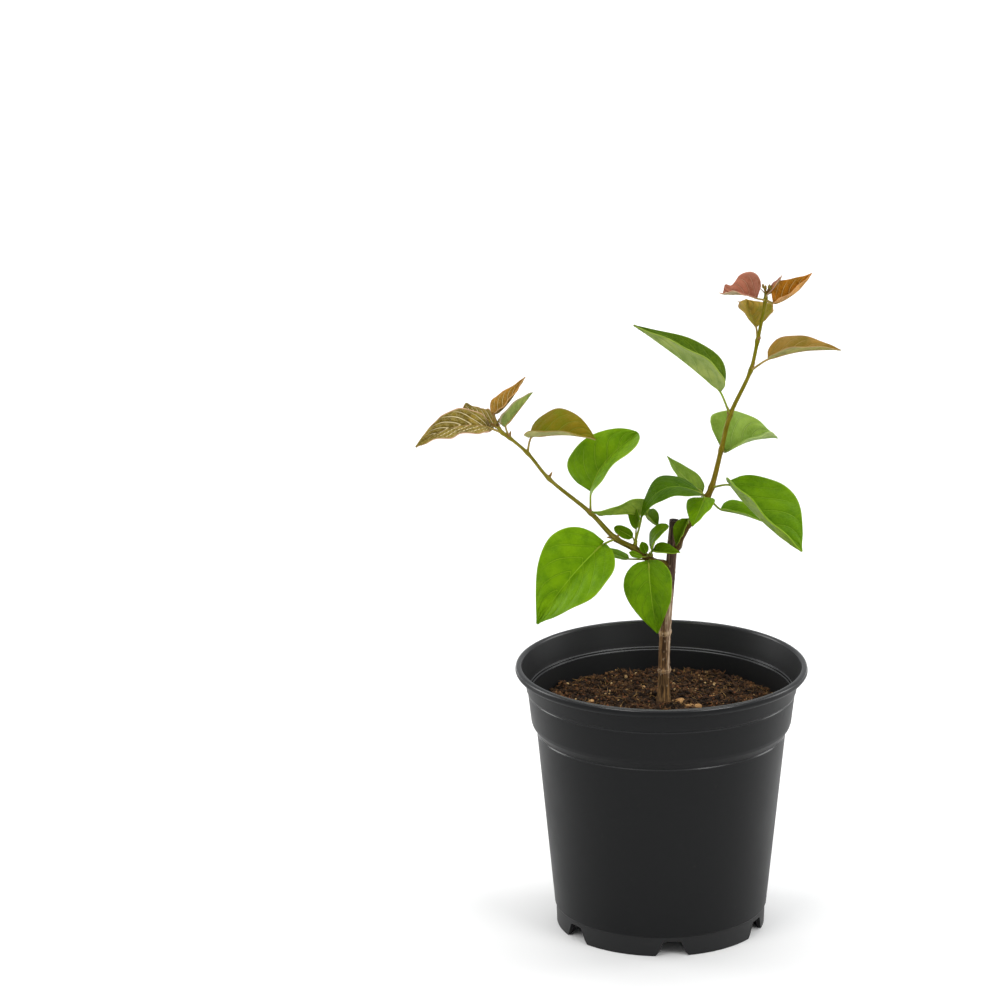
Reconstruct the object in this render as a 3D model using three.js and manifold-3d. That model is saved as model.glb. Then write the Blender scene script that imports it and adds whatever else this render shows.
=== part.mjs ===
// A young bougainvillea in a nursery pot: a woody cutting with two leafy shoots, potting soil and the pot.
// Millimetres, +Z up. The origin is the centre of the pot's underside.
import * as THREE from "three";
import { mergeVertices } from "three/addons/utils/BufferGeometryUtils.js";
import Module from "manifold-3d";

const wasm = await Module();
wasm.setup();

// ---- driving dimensions -------------------------------------------------------------------------
const GAP = 0.3; // clearance between neighbouring pieces

const RIM_RADIUS = 65; // outside of the rolled lip
const POT_HEIGHT = 121;
const FOOT_RADIUS = 46.6;
const WALL = 1.5; // wall of the pot
const POT_SEGMENTS = 48;
const NOTCHES = 6; // drain notches round the foot
const NOTCH_TURN = -83.5; // heading of the first notch, degrees
const NOTCH_HEIGHT = 6.9;
const NOTCH_TOP = 11.5; // width at its top
const NOTCH_FOOT = 15; // width on the ground
const RECESS_HEIGHT = 7.6; // hollow under the pot between the foot ring and the centre pad
const PAD_RADIUS = 20; // flat pad in the middle of the underside

const SOIL_EDGE = 100; // height of the soil at the wall
const SOIL_SEAT = 103 - GAP; // height of the flat seat round the trunk
const SEAT_RADIUS = 9;

const TRUNK_FOOT = [1, 4, 103]; // where the trunk is cut at ground level
const TRUNK_RADIUS = [2.65, 2.1];
const TRUNK_FLARE = 0.7;
const TRUNK_COLLARS = [116.5, 134]; // heights of the two ring scars

const BLADE_THICK = 0.5;
const PETIOLE_RADIUS = 0.52;

// ---- small helpers ------------------------------------------------------------------------------
const rad = THREE.MathUtils.degToRad;
const vec = (x, y, z) => new THREE.Vector3(x, y, z);

// Unit vector from a heading (degrees from +X towards +Y) and a rise above the level.
function heading(turn, rise) {
  return vec(
    Math.cos(rad(rise)) * Math.cos(rad(turn)),
    Math.cos(rad(rise)) * Math.sin(rad(turn)),
    Math.sin(rad(rise)),
  );
}

// A three.js geometry as a closed manifold solid that faces outwards.
function solid(geometry) {
  const bare = geometry.clone();
  bare.deleteAttribute("normal");
  bare.deleteAttribute("uv");
  const merged = mergeVertices(bare, 1e-4);
  const index = merged.index.array;
  const faces = [];
  for (let i = 0; i < index.length; i += 3) {
    const [a, b, c] = [index[i], index[i + 1], index[i + 2]];
    if (a !== b && b !== c && c !== a) faces.push(a, b, c);
  }
  const made = (triangles) =>
    new wasm.Manifold(
      new wasm.Mesh({
        numProp: 3,
        vertProperties: merged.attributes.position.array,
        triVerts: new Uint32Array(triangles),
      }),
    );
  const first = made(faces);
  return first.volume() > 0 ? first : made(faces.reverse());
}

// The largest body of a solid, without the crumbs that a cut can leave.
function mainBody(shape) {
  return shape.decompose().sort((a, b) => b.volume() - a.volume())[0];
}

function fuse(shapes) {
  return shapes.reduce((sum, next) => sum.add(next));
}

// A round limb along a curve; radiusAt(t, centre) gives its radius.
function limb(curve, radiusAt, sides, steps) {
  const frames = curve.computeFrenetFrames(steps);
  const shape = new THREE.CylinderGeometry(1, 1, 1, sides, steps);
  const place = shape.attributes.position;
  for (let i = 0; i < place.count; i += 1) {
    const step = Math.round((place.getY(i) + 0.5) * steps);
    const centre = curve.getPointAt(step / steps);
    const radius = radiusAt(step / steps, centre);
    const point = centre
      .clone()
      .addScaledVector(frames.normals[step], radius * place.getX(i))
      .addScaledVector(frames.binormals[step], radius * place.getZ(i));
    place.setXYZ(i, point.x, point.y, point.z);
  }
  return solid(shape);
}

// Nodes of a stem from its start and its internodes [length, heading, rise].
function stemNodes(start, internodes) {
  const nodes = [vec(...start)];
  for (const [length, turn, rise] of internodes) {
    nodes.push(nodes.at(-1).clone().addScaledVector(heading(turn, rise), length));
  }
  return nodes;
}

// ---- trunk and shoots ---------------------------------------------------------------------------
const swell = (centre, nodes, size, reach) =>
  nodes.reduce((sum, n) => sum + size * Math.exp(-((centre.distanceTo(n) / reach) ** 2)), 0);

// A short thorn-like bud on a node.
function thorn(from, stemRadius, [, turn, rise, length], extra) {
  const way = heading(turn, rise);
  const reach = stemRadius + length + extra;
  const path = new THREE.QuadraticBezierCurve3(
    from.clone(),
    from.clone().addScaledVector(way, reach * 0.6),
    from.clone().addScaledVector(way, reach).add(vec(0, 0, 0.3)),
  );
  return limb(path, (t) => 0.5 - 0.35 * t + extra, 5, 2);
}

// thorns: [node, heading, rise, length beyond the stem].
function stem({ start, internodes, radius, ease, swelling, thorns, sides, steps }) {
  const nodes = stemNodes(start, internodes);
  const curve = new THREE.CatmullRomCurve3(nodes);
  const swollen = nodes.slice(1, -1);
  const radiusAt = (t, centre) =>
    radius[1] + (radius[0] - radius[1]) * (1 - t) ** ease + swell(centre, swollen, swelling, 1.6);
  const grown = (extra) =>
    fuse([
      limb(curve, (t, c) => radiusAt(t, c) + extra, sides, steps),
      ...thorns.map((t) => thorn(nodes[t[0]], radius[1], t, extra)),
    ]);
  return { nodes, curve, radiusAt, solid: grown(0), clear: grown(GAP) };
}

const trunkNodes = stemNodes(
  [TRUNK_FOOT[0], TRUNK_FOOT[1], TRUNK_FOOT[2] - 3],
  [
    [30.5, 0, 89],
    [28, 0, 86],
    [28, 0, 86],
  ],
);
const trunkCurve = new THREE.CatmullRomCurve3(trunkNodes);
function trunkRadius(t, centre, extra = 0) {
  const collars = TRUNK_COLLARS.reduce(
    (sum, z) => sum + 0.3 * Math.exp(-(((centre.z - z) / 1.6) ** 2)),
    0,
  );
  const flare = TRUNK_FLARE * Math.exp(-Math.max(0, centre.z - TRUNK_FOOT[2]) / 3);
  return THREE.MathUtils.lerp(...TRUNK_RADIUS, t) + collars + flare + extra;
}
const ground = (shape) => shape.trimByPlane([0, 0, 1], TRUNK_FOOT[2]);
const trunk = ground(limb(trunkCurve, trunkRadius, 10, 26));
const trunkClear = limb(trunkCurve, (t, c) => trunkRadius(t, c, GAP), 10, 26);

const leftStem = stem({
  start: [2.3, 4, 165.1],
  internodes: [
    [9, -159, 25],
    [9, -162, 39],
    [10.5, -160, 32],
    [17, -166, 48],
    [25, -167, 42],
    [15.5, -168, 52],
    [11, -166, 43],
    [4, -162, 38],
    [4.5, -169, 53],
  ],
  radius: [1.15, 0.64],
  ease: 2,
  swelling: 0.25,
  thorns: [
    [3, 180, 5, 3],
    [4, 170, 50, 2.2],
    [5, 20, 60, 2],
    [6, 160, 40, 2],
    [7, 60, 60, 1.5],
  ],
  sides: 7,
  steps: 30,
});
const rightStem = stem({
  start: [5.5, 4, 173],
  internodes: [
    [12.5, 18, 59],
    [15, 13, 55],
    [4.5, 32, 61],
    [17.5, 13, 76],
    [16, 13, 76],
    [22, 7, 66],
    [13.5, 19, 77],
    [18.5, 18, 79],
    [4, -23, 87],
  ],
  radius: [1.65, 0.78],
  ease: 2.2,
  swelling: 0.3,
  thorns: [
    [3, -20, 65, 2.8],
    [5, 180, 75, 2.4],
    [6, -10, 60, 2.6],
  ],
  sides: 7,
  steps: 30,
});
const stems = { left: leftStem, right: rightStem };

// The last bit of each shoot belongs to the tuft at its tip: the cut is square to the shoot.
function tipCut({ nodes, curve }) {
  const end = nodes.at(-2);
  const along = curve.getTangentAt(0.94);
  const at = end.clone().addScaledVector(along, -2.2);
  return { normal: along.toArray(), offset: along.dot(at) };
}
function belowTip(part) {
  const { normal, offset } = tipCut(part);
  return part.solid.trimByPlane(normal.map((v) => -v), -offset);
}
function aboveTip(part) {
  const { normal, offset } = tipCut(part);
  return part.solid.trimByPlane(normal, offset + GAP);
}

const leftShoot = mainBody(belowTip(leftStem).subtract(trunkClear));
const rightShoot = mainBody(belowTip(rightStem).subtract(trunkClear));

// ---- leaves -------------------------------------------------------------------------------------
// Half width of a blade along its length, 0 at the base and tip and 1 where it is widest.
// blunt runs from 0, a drawn-out tip, to 1, a rounded one.
function halfWidth(t, widest, blunt) {
  const past = (t - widest) / (1 - widest);
  const bare =
    t < widest
      ? Math.sqrt(1 - ((widest - t) / widest) ** 2)
      : (1 - past ** (1.7 + 0.5 * blunt)) ** (1.15 - 0.6 * blunt);
  return 0.03 + 0.97 * bare;
}

// The line of a midrib: an arch whose last part is hooked towards the upper face.
class Midrib extends THREE.Curve {
  constructor(base, bow, tip, up, hook) {
    super();
    this.arch = new THREE.QuadraticBezierCurve3(base, bow, tip);
    this.up = up;
    this.hook = hook;
  }

  getPoint(t, target = vec(0, 0, 0)) {
    const bent = Math.max(0, (t - 0.6) / 0.4) ** 2;
    return this.arch.getPoint(t, target).addScaledVector(this.up, this.hook * bent);
  }
}

// Where a leaf lies: base and tip of its blade, its midrib and the way its upper face looks.
function lay(node, { petiole, blade, turn, arch = 0, peak = 0.45, hook = 0 }) {
  const base = node.clone().addScaledVector(heading(petiole[1], petiole[2]), petiole[0]);
  const along = heading(turn[0], turn[1]);
  const tip = base.clone().addScaledVector(along, blade[0]);
  const level = vec(0, 0, 1).addScaledVector(along, -along.z).normalize();
  const side = along.clone().cross(level);
  const up = level
    .multiplyScalar(Math.cos(rad(turn[2])))
    .addScaledVector(side, Math.sin(rad(turn[2])));
  const bow = base
    .clone()
    .addScaledVector(along, blade[0] * peak)
    .addScaledVector(up, 2 * arch);
  return {
    base,
    midrib: new Midrib(base, bow, tip, up, hook),
    across: along.clone().cross(up),
  };
}

// A blade folded along its midrib: fold is the rise of its two wings in degrees, tail the
// half width of a flared tip.
function bladeSolid(place, { blade, fold, widest = 0.34, lobe = 0.05, blunt = 0, tail = 0 }) {
  const shape = new THREE.BoxGeometry(2, 1, 1, blade[0] > 18 ? 4 : 2, blade[0] > 18 ? 8 : 6, 1);
  const spots = shape.attributes.position;
  for (let i = 0; i < spots.count; i += 1) {
    const q = spots.getX(i);
    const t = 1 - (0.5 - spots.getY(i)) ** 1.25;
    const flare = tail * THREE.MathUtils.smoothstep(t, 0.8, 1);
    const at = [widest].flat().at(q > 0 ? -1 : 0);
    const reach = ((blade[1] / 2) * halfWidth(t, at, blunt) + flare) * Math.abs(q);
    const back = t - lobe * Math.abs(q) ** 1.5 * (1 - t) ** 3;
    const along = place.midrib.getTangent(Math.max(0, back));
    const up = place.across.clone().cross(along).normalize();
    const rise = rad(q > 0 ? fold[1] : fold[0]);
    const out = along.clone().cross(up).multiplyScalar(Math.sign(q));
    const face = q === 0 ? up.clone() : up.clone().multiplyScalar(Math.cos(rise));
    face.addScaledVector(out, -Math.sin(rise));
    const point = place.midrib
      .getPoint(Math.max(0, back))
      .addScaledVector(along, Math.min(0, back) * blade[0])
      .addScaledVector(out, reach * Math.cos(rise))
      .addScaledVector(up, reach * Math.sin(rise))
      .addScaledVector(face, Math.sign(spots.getZ(i)) * (BLADE_THICK / 2));
    spots.setXYZ(i, point.x, point.y, point.z);
  }
  return solid(shape);
}

// A whole leaf: the petiole runs from its root into the midrib of the blade.
function leaf(node, spec, root = node) {
  const place = lay(node, spec);
  const path = new THREE.CatmullRomCurve3(
    [root.clone(), place.base, place.midrib.getPoint(0.16)],
    false,
    "centripetal",
  );
  const stalk = limb(path, (t) => PETIOLE_RADIUS * (1 - 0.35 * t), 5, 4);
  return bladeSolid(place, spec).add(stalk);
}

// petiole: [length, heading, rise] from the node. blade: [length, width].
// turn: [heading, rise, roll] of the blade. fold: rise of the left and the right wing.
const SINGLE_LEAVES = {
  left_leaf_1: { on: "left", node: 1, petiole: [8, -93, 5], blade: [31, 23.5], turn: [-60, -75, 26],
    fold: [20, 16], arch: 3 },
  left_leaf_2: { on: "left", node: 1, petiole: [10, 169, -2], blade: [14, 8], turn: [168, 24, -11],
    fold: [16, 10], arch: -1 },
  left_leaf_3: { on: "left", node: 3, petiole: [8, -144, -14], blade: [45, 37],
    turn: [-173, -51, -52], fold: [21, 23], arch: 4, peak: 0.38 },
  left_leaf_4: { on: "left", node: 4, petiole: [10.5, -77, 84], blade: [33, 29.5],
    turn: [6, 50, 34], fold: [31, 33], arch: 5, peak: 0.42, widest: [0.26, 0.85], lobe: 0.01,
    blunt: 0.7, hook: 1 },
  left_leaf_5: { on: "left", node: 6, petiole: [7.5, 2, 75], blade: [30.5, 25.5],
    turn: [-23, 4, 16], fold: [32, 38], arch: 2, peak: 0.58 },
  left_leaf_6: { on: "left", node: 7, petiole: [6, -147, 73], blade: [19.5, 14.5],
    turn: [-10, 52, 2], fold: [42, 44] },
  knob_leaf: { on: "right", node: 1, petiole: [9, -91, 30], blade: [13.5, 9.5],
    turn: [167, -67, -64], fold: [53, 43], widest: 0.4 },
  right_leaf_1: { on: "right", node: 2, petiole: [10, 35, -45], blade: [22.5, 13.5],
    turn: [-3, -17, 10], fold: [27, 31], arch: 1, lobe: 0 },
  right_leaf_2: { on: "right", node: 3, petiole: [10.5, -35, 14], blade: [48.5, 38],
    turn: [-46, -25, -10], fold: [42, 38], arch: -2, peak: 0.59, widest: 0.4 },
  right_leaf_3: { on: "right", node: 4, petiole: [5, 61, -24], blade: [28.5, 34.5],
    turn: [37, 3, 14], fold: [46, 41], arch: 2.5, widest: 0.22 },
  right_leaf_4: { on: "right", node: 5, petiole: [14.3, -136, 61.5], blade: [47.5, 27],
    turn: [177.5, 37.5, -1.5], fold: [44.5, 42.5], arch: 1, peak: 0.34, lobe: 0.02 },
  right_leaf_5: { on: "right", node: 6, petiole: [10, -22, 36], blade: [32, 20.5], turn: [2, 7, 4],
    fold: [29, 30], arch: 2, lobe: 0 },
  right_leaf_6: { on: "right", node: 7, petiole: [6, 106, 69], blade: [18, 22], turn: [106, 29, 7],
    fold: [42, 40], arch: -1, widest: 0.47, lobe: 0 },
};

// Tufts of small leaves on a short spur; spur: [heading, rise] of the spur from its node.
const SPUR_TUFTS = {
  left_spur_foliage_low: { on: "left", node: 1, spur: [-60, 75], leaves: [
    { petiole: [7.5, -79, 47], blade: [15, 9.5], turn: [-26, 57, 39], fold: [8, 8], arch: 3,
      peak: 0.49, widest: 0.48, lobe: 0.06, blunt: 1 },
    { petiole: [9.5, -79, 40], blade: [12.5, 9], turn: [-14, -2, 21], fold: [40, 37], lobe: 0.02,
      blunt: 0.3, hook: 1 },
    { petiole: [6, -112, 44], blade: [5.5, 4.5], turn: [167, 69, -65], fold: [25, 30], arch: -0.5,
      widest: 0.55, lobe: 0.03, blunt: 0.8 },
    { petiole: [7.5, -116, 24], blade: [7.5, 3], turn: [-153, 25, -74], fold: [15, 15], arch: -1,
      peak: 0.54, widest: 0.6, lobe: 0, blunt: 0.4 },
    { petiole: [17.5, 74, 44], blade: [12, 11], turn: [-140, 43, -51], fold: [41, 38], arch: -1,
      peak: 0.52, widest: 0.42, lobe: 0.01, blunt: 0.6, hook: 1.5 },
  ] },
  left_spur_foliage_high: { on: "left", node: 2, spur: [0, 85], leaves: [
    { petiole: [15.5, 59, 70], blade: [26, 19], turn: [-142, 4, 30], fold: [26, 13], arch: 1.5,
      peak: 0.4, widest: 0.2, lobe: 0.11, hook: 4 },
    { petiole: [9, 9, 86], blade: [10, 7], turn: [108, 75, -43], fold: [35, 38], arch: -1,
      widest: 0.7, lobe: 0.02, blunt: 0.1 },
    { petiole: [5.5, -130, 77], blade: [9.5, 6], turn: [163, 25, -58], fold: [30, 35], peak: 0.5,
      widest: 0.39, lobe: 0, blunt: 1 },
  ] },
  right_spur_foliage: { on: "right", node: 2, spur: [180, 20], leaves: [
    { petiole: [4, 143, 28], blade: [21.5, 11.5], turn: [166, 44, -22], fold: [19, 18],
      arch: -1.5 },
    { petiole: [9, -114, 25], blade: [28, 18.5], turn: [-167, -18, -16], fold: [5, 3], arch: 9,
      peak: 0.54, widest: 0.38, lobe: 0, blunt: 0.2, hook: -1 },
    { petiole: [8, -100, 9], blade: [15.5, 14.5], turn: [-115, -37, 2], fold: [19, 5],
      widest: 0.22 },
  ] },
};

// Young leaves and the bud at the tip of each shoot.
const TIP_TUFTS = {
  left_tip_foliage: { on: "left", leaves: [
    { petiole: [7.5, -172, 22], blade: [32, 20.5], turn: [-167, -13, 34], fold: [28, 28], arch: 2,
      blunt: 0.1 },
    { petiole: [5, 148, 42], blade: [15.5, 10], turn: [174, 28, 5], fold: [34, 38], arch: -2,
      widest: 0.37, lobe: 0.01, blunt: 0.5, hook: 2 },
    { petiole: [9, -179, 68], blade: [21, 13], turn: [25, 46, 5], fold: [31, 35], arch: -1.5,
      peak: 0.32 },
  ] },
  right_tip_foliage: { on: "right", leaves: [
    { petiole: [6, -133, 17], blade: [17, 21], turn: [147, -7, -19], fold: [38, 46], arch: 2,
      peak: 0.38, widest: 0.36, lobe: 0.01, hook: 2, cup: 0.04, tail: 3.8 },
    { petiole: [5, -36, -8], blade: [24, 16.5], turn: [-30, 41, 48], fold: [55, 51], arch: -2.5,
      widest: 0.26, lobe: 0.03 },
    { petiole: [3, -57, 66], blade: [13, 8.5], turn: [-39, 51, 31], fold: [17, 18], arch: -1,
      lobe: 0.02 },
  ] },
};

function singleLeaf(spec) {
  const part = stems[spec.on];
  return mainBody(leaf(part.nodes[spec.node], spec).subtract(part.clear));
}

function spurTuft({ on, node, spur, leaves }) {
  const part = stems[on];
  const from = part.nodes[node];
  const away = part.radiusAt(0.3, from) + 1;
  const root = from.clone().addScaledVector(heading(...spur), away);
  const knob = solid(new THREE.IcosahedronGeometry(1.1, 1).translate(root.x, root.y, root.z));
  const all = fuse([knob, ...leaves.map((spec) => leaf(from, spec, root))]);
  return mainBody(all.subtract(part.clear));
}

function tipTuft({ on, leaves }) {
  const part = stems[on];
  const from = part.nodes.at(-2);
  const top = part.nodes.at(-1);
  const bud = solid(new THREE.SphereGeometry(1, 8, 6).scale(0.9, 0.9, 2).translate(top.x, top.y, top.z + 1));
  return mainBody(fuse([aboveTip(part), bud, ...leaves.map((spec) => leaf(from, spec))]));
}

// ---- pot and soil -------------------------------------------------------------------------------
// A closed profile of [radius, height] turned about the Z axis.
function turned(profile, segments) {
  const points = profile.map(([r, z]) => new THREE.Vector2(r, z));
  return new THREE.LatheGeometry(points, segments).rotateX(Math.PI / 2);
}

const INSIDE = [
  [18.8, WALL],
  [21.9, RECESS_HEIGHT + WALL],
  [45, RECESS_HEIGHT + WALL],
  [46.1, 12],
  [52.1, 78],
  [53.2, 87.4],
  [56.2, 92.4],
  [57.1, 100],
  [57.8, 107.6],
];

function potSolid() {
  const outside = [
    [0, 0],
    [PAD_RADIUS, 0],
    [PAD_RADIUS + 3.4, RECESS_HEIGHT],
    [FOOT_RADIUS - 2.4, RECESS_HEIGHT],
    [FOOT_RADIUS - 1.8, 0],
    [FOOT_RADIUS, 0],
    [FOOT_RADIUS + 0.2, 9],
    [FOOT_RADIUS + 0.8, 9.7],
    [53.6, 78],
    [54.7, 87],
    [55.3, 89],
    [57.4, 92.2],
    [57.9, 93.6],
    [59.2, 106.8],
    [59.9, 107.6],
    [60.1, 108.8],
    [61.3, 116.8],
    [RIM_RADIUS - 0.9, 117.8],
    [RIM_RADIUS, 118.9],
    [RIM_RADIUS - 0.2, 120.3],
    [RIM_RADIUS - 1.1, POT_HEIGHT],
    [RIM_RADIUS - 2.4, POT_HEIGHT],
    [RIM_RADIUS - 3, POT_HEIGHT - 0.7],
    [59.6, 112],
    [58.9, 108.8],
  ];
  const shell = solid(turned([...outside, ...[...INSIDE].reverse(), [0, WALL]], POT_SEGMENTS));
  const opening = new THREE.Shape([
    new THREE.Vector2(-NOTCH_FOOT / 2, -1),
    new THREE.Vector2(NOTCH_FOOT / 2, -1),
    new THREE.Vector2(NOTCH_TOP / 2, NOTCH_HEIGHT),
    new THREE.Vector2(-NOTCH_TOP / 2, NOTCH_HEIGHT),
  ]);
  const cutter = new THREE.ExtrudeGeometry(opening, { depth: 12, bevelEnabled: false })
    .rotateX(Math.PI / 2)
    .rotateZ(Math.PI / 2)
    .translate(38, 0, 0);
  const notches = Array.from({ length: NOTCHES }, (_, i) =>
    solid(cutter.clone().rotateZ(rad(NOTCH_TURN + (360 / NOTCHES) * i))),
  );
  return shell.subtract(fuse(notches));
}

function soilSolid() {
  const side = INSIDE.slice(0, -1).map(([r, z]) => [r - GAP, z + (z < 20 ? GAP : 0)]);
  side[side.length - 1][1] = SOIL_EDGE;
  const crown = [48, 38, 28, 18].map((r) => {
    const share = (r - SEAT_RADIUS) / (57 - SEAT_RADIUS);
    return [r, THREE.MathUtils.lerp(SOIL_SEAT, SOIL_EDGE, share ** 1.5)];
  });
  const profile = [[0, WALL + GAP], ...side, ...crown, [SEAT_RADIUS, SOIL_SEAT], [0, SOIL_SEAT]];
  const shape = turned(profile, POT_SEGMENTS / 2);
  const spots = shape.attributes.position;
  for (let i = 0; i < spots.count; i += 1) {
    const [x, y, z] = [spots.getX(i), spots.getY(i), spots.getZ(i)];
    const radius = Math.hypot(x, y);
    const bumpy = z > SOIL_EDGE - 1 && radius > SEAT_RADIUS + 1 && radius < 50;
    const bump = 0.7 * Math.sin(0.31 * x + 1) * Math.cos(0.27 * y) + 0.4 * Math.sin(0.5 * y - 0.4 * x);
    if (bumpy) spots.setZ(i, z + bump);
  }
  return solid(shape);
}

// ---- the object ---------------------------------------------------------------------------------
const LOOKS = {
  pot: { color: 0x1c1d1f, roughness: 0.45, metalness: 0 },
  soil: { color: 0x2a1d16, roughness: 0.95, metalness: 0 },
  bark: { color: 0x6e543f, roughness: 0.85, metalness: 0 },
  stem: { color: 0x7d6b33, roughness: 0.65, metalness: 0 },
  leaf: { color: 0x5c9a22, roughness: 0.5, metalness: 0 },
  young: { color: 0xa0703c, roughness: 0.5, metalness: 0 },
};

const plant = new THREE.Group();
plant.name = "potted_bougainvillea";

function add(name, shape, look) {
  const mesh = shape.getMesh();
  const geometry = new THREE.BufferGeometry();
  geometry.setAttribute("position", new THREE.BufferAttribute(mesh.vertProperties, 3));
  geometry.setIndex(new THREE.BufferAttribute(mesh.triVerts, 1));
  const body = new THREE.Mesh(geometry, new THREE.MeshStandardMaterial(LOOKS[look]));
  body.name = name;
  plant.add(body);
}

add("pot", potSolid(), "pot");
add("potting_soil", soilSolid(), "soil");
add("trunk", trunk, "bark");
add("left_shoot", leftShoot, "stem");
add("right_shoot", rightShoot, "stem");
const YOUNG = ["right_leaf_5", "right_leaf_6"];
for (const [name, spec] of Object.entries(SINGLE_LEAVES)) {
  add(name, singleLeaf(spec), YOUNG.includes(name) ? "young" : "leaf");
}
for (const [name, spec] of Object.entries(SPUR_TUFTS)) {
  add(name, spurTuft(spec), "leaf");
}
for (const [name, spec] of Object.entries(TIP_TUFTS)) {
  add(name, tipTuft(spec), "young");
}

export default plant;
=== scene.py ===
import math
import random

import bmesh
import bpy
import numpy as np
from mathutils import Matrix, Vector, noise


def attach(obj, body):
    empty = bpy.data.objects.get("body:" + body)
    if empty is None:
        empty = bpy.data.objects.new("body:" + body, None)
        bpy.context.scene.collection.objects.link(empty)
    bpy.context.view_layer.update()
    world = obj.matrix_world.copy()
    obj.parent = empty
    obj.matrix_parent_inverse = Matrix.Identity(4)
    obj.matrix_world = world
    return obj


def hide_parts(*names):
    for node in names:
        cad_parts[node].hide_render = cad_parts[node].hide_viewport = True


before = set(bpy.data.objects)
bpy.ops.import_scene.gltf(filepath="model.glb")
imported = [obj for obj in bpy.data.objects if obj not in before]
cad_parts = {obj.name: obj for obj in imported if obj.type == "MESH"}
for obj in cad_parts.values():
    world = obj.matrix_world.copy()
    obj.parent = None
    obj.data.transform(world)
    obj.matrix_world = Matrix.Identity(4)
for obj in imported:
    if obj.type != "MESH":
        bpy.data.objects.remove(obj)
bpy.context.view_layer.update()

MM = 0.001
UP = Vector((0, 0, 1))
TURN = 2 * math.pi
scene = bpy.context.scene


# ---- camera, floor and light ---------------------------------------------------------------
def aimed(eye, target):
    return (Vector(target) - Vector(eye)).to_track_quat("-Z", "Y").to_matrix()


def set_up_camera(eye, target, tilt, lens):
    """eye and target are in metres, tilt in degrees, lens in millimetres."""
    data = bpy.data.cameras.new("camera")
    data.sensor_width = 36
    data.lens = lens
    data.clip_start, data.clip_end = 0.05, 60
    camera = bpy.data.objects.new("camera", data)
    turn = aimed(eye, target) @ Matrix.Rotation(math.radians(tilt), 3, "Z")
    camera.matrix_world = Matrix.Translation(eye) @ turn.to_4x4()
    scene.collection.objects.link(camera)
    scene.camera = camera


def softbox(name, eye, target, size, watts, colour=(1, 1, 1), spread=180):
    data = bpy.data.lights.new(name, "AREA")
    data.shape = "RECTANGLE"
    data.size, data.size_y = size
    data.energy = watts
    data.color = colour
    data.spread = math.radians(spread)
    light = bpy.data.objects.new(name, data)
    light.matrix_world = Matrix.Translation(eye) @ aimed(eye, target).to_4x4()
    scene.collection.objects.link(light)


def set_up_studio():
    scene.view_settings.view_transform = "Standard"
    world = bpy.data.worlds.new("studio")
    world.use_nodes = True
    sky = world.node_tree.nodes["Background"].inputs
    sky["Color"].default_value = (0.97, 0.985, 1, 1)
    sky["Strength"].default_value = 0.6
    scene.world = world
    middle = (0, 0, 0.15)
    softbox("key", (-0.75, -1.0, 1.35), middle, (0.7, 0.7), 8, (1, 0.985, 0.96))
    softbox("fill", (1.0, -0.9, 1.1), middle, (0.7, 0.7), 9)
    softbox("overhead", (0.05, 0.35, 1.3), (0, 0, 0.1), (1.2, 0.7), 6)
    softbox("left_side", (-1.1, 0.35, 0.45), (0, 0, 0.1), (0.5, 1.0), 5)
    softbox("right_side", (1.1, 0.35, 0.45), (0, 0, 0.1), (0.5, 1.0), 4.5)
    softbox("floor_far", (-0.07, 2.6, 1.8), (-0.07, 2.6, 0), (4, 2.4), 55, spread=100)

    bm = bmesh.new()
    bmesh.ops.create_grid(bm, x_segments=1, y_segments=1, size=14)
    floor = bpy.data.objects.new("floor", mesh_of("floor", bm))
    scene.collection.objects.link(floor)
    floor.data.materials.append(Recipe("studio_floor").finish((0.93, 0.93, 0.925), 0.8, 0.1))


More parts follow.
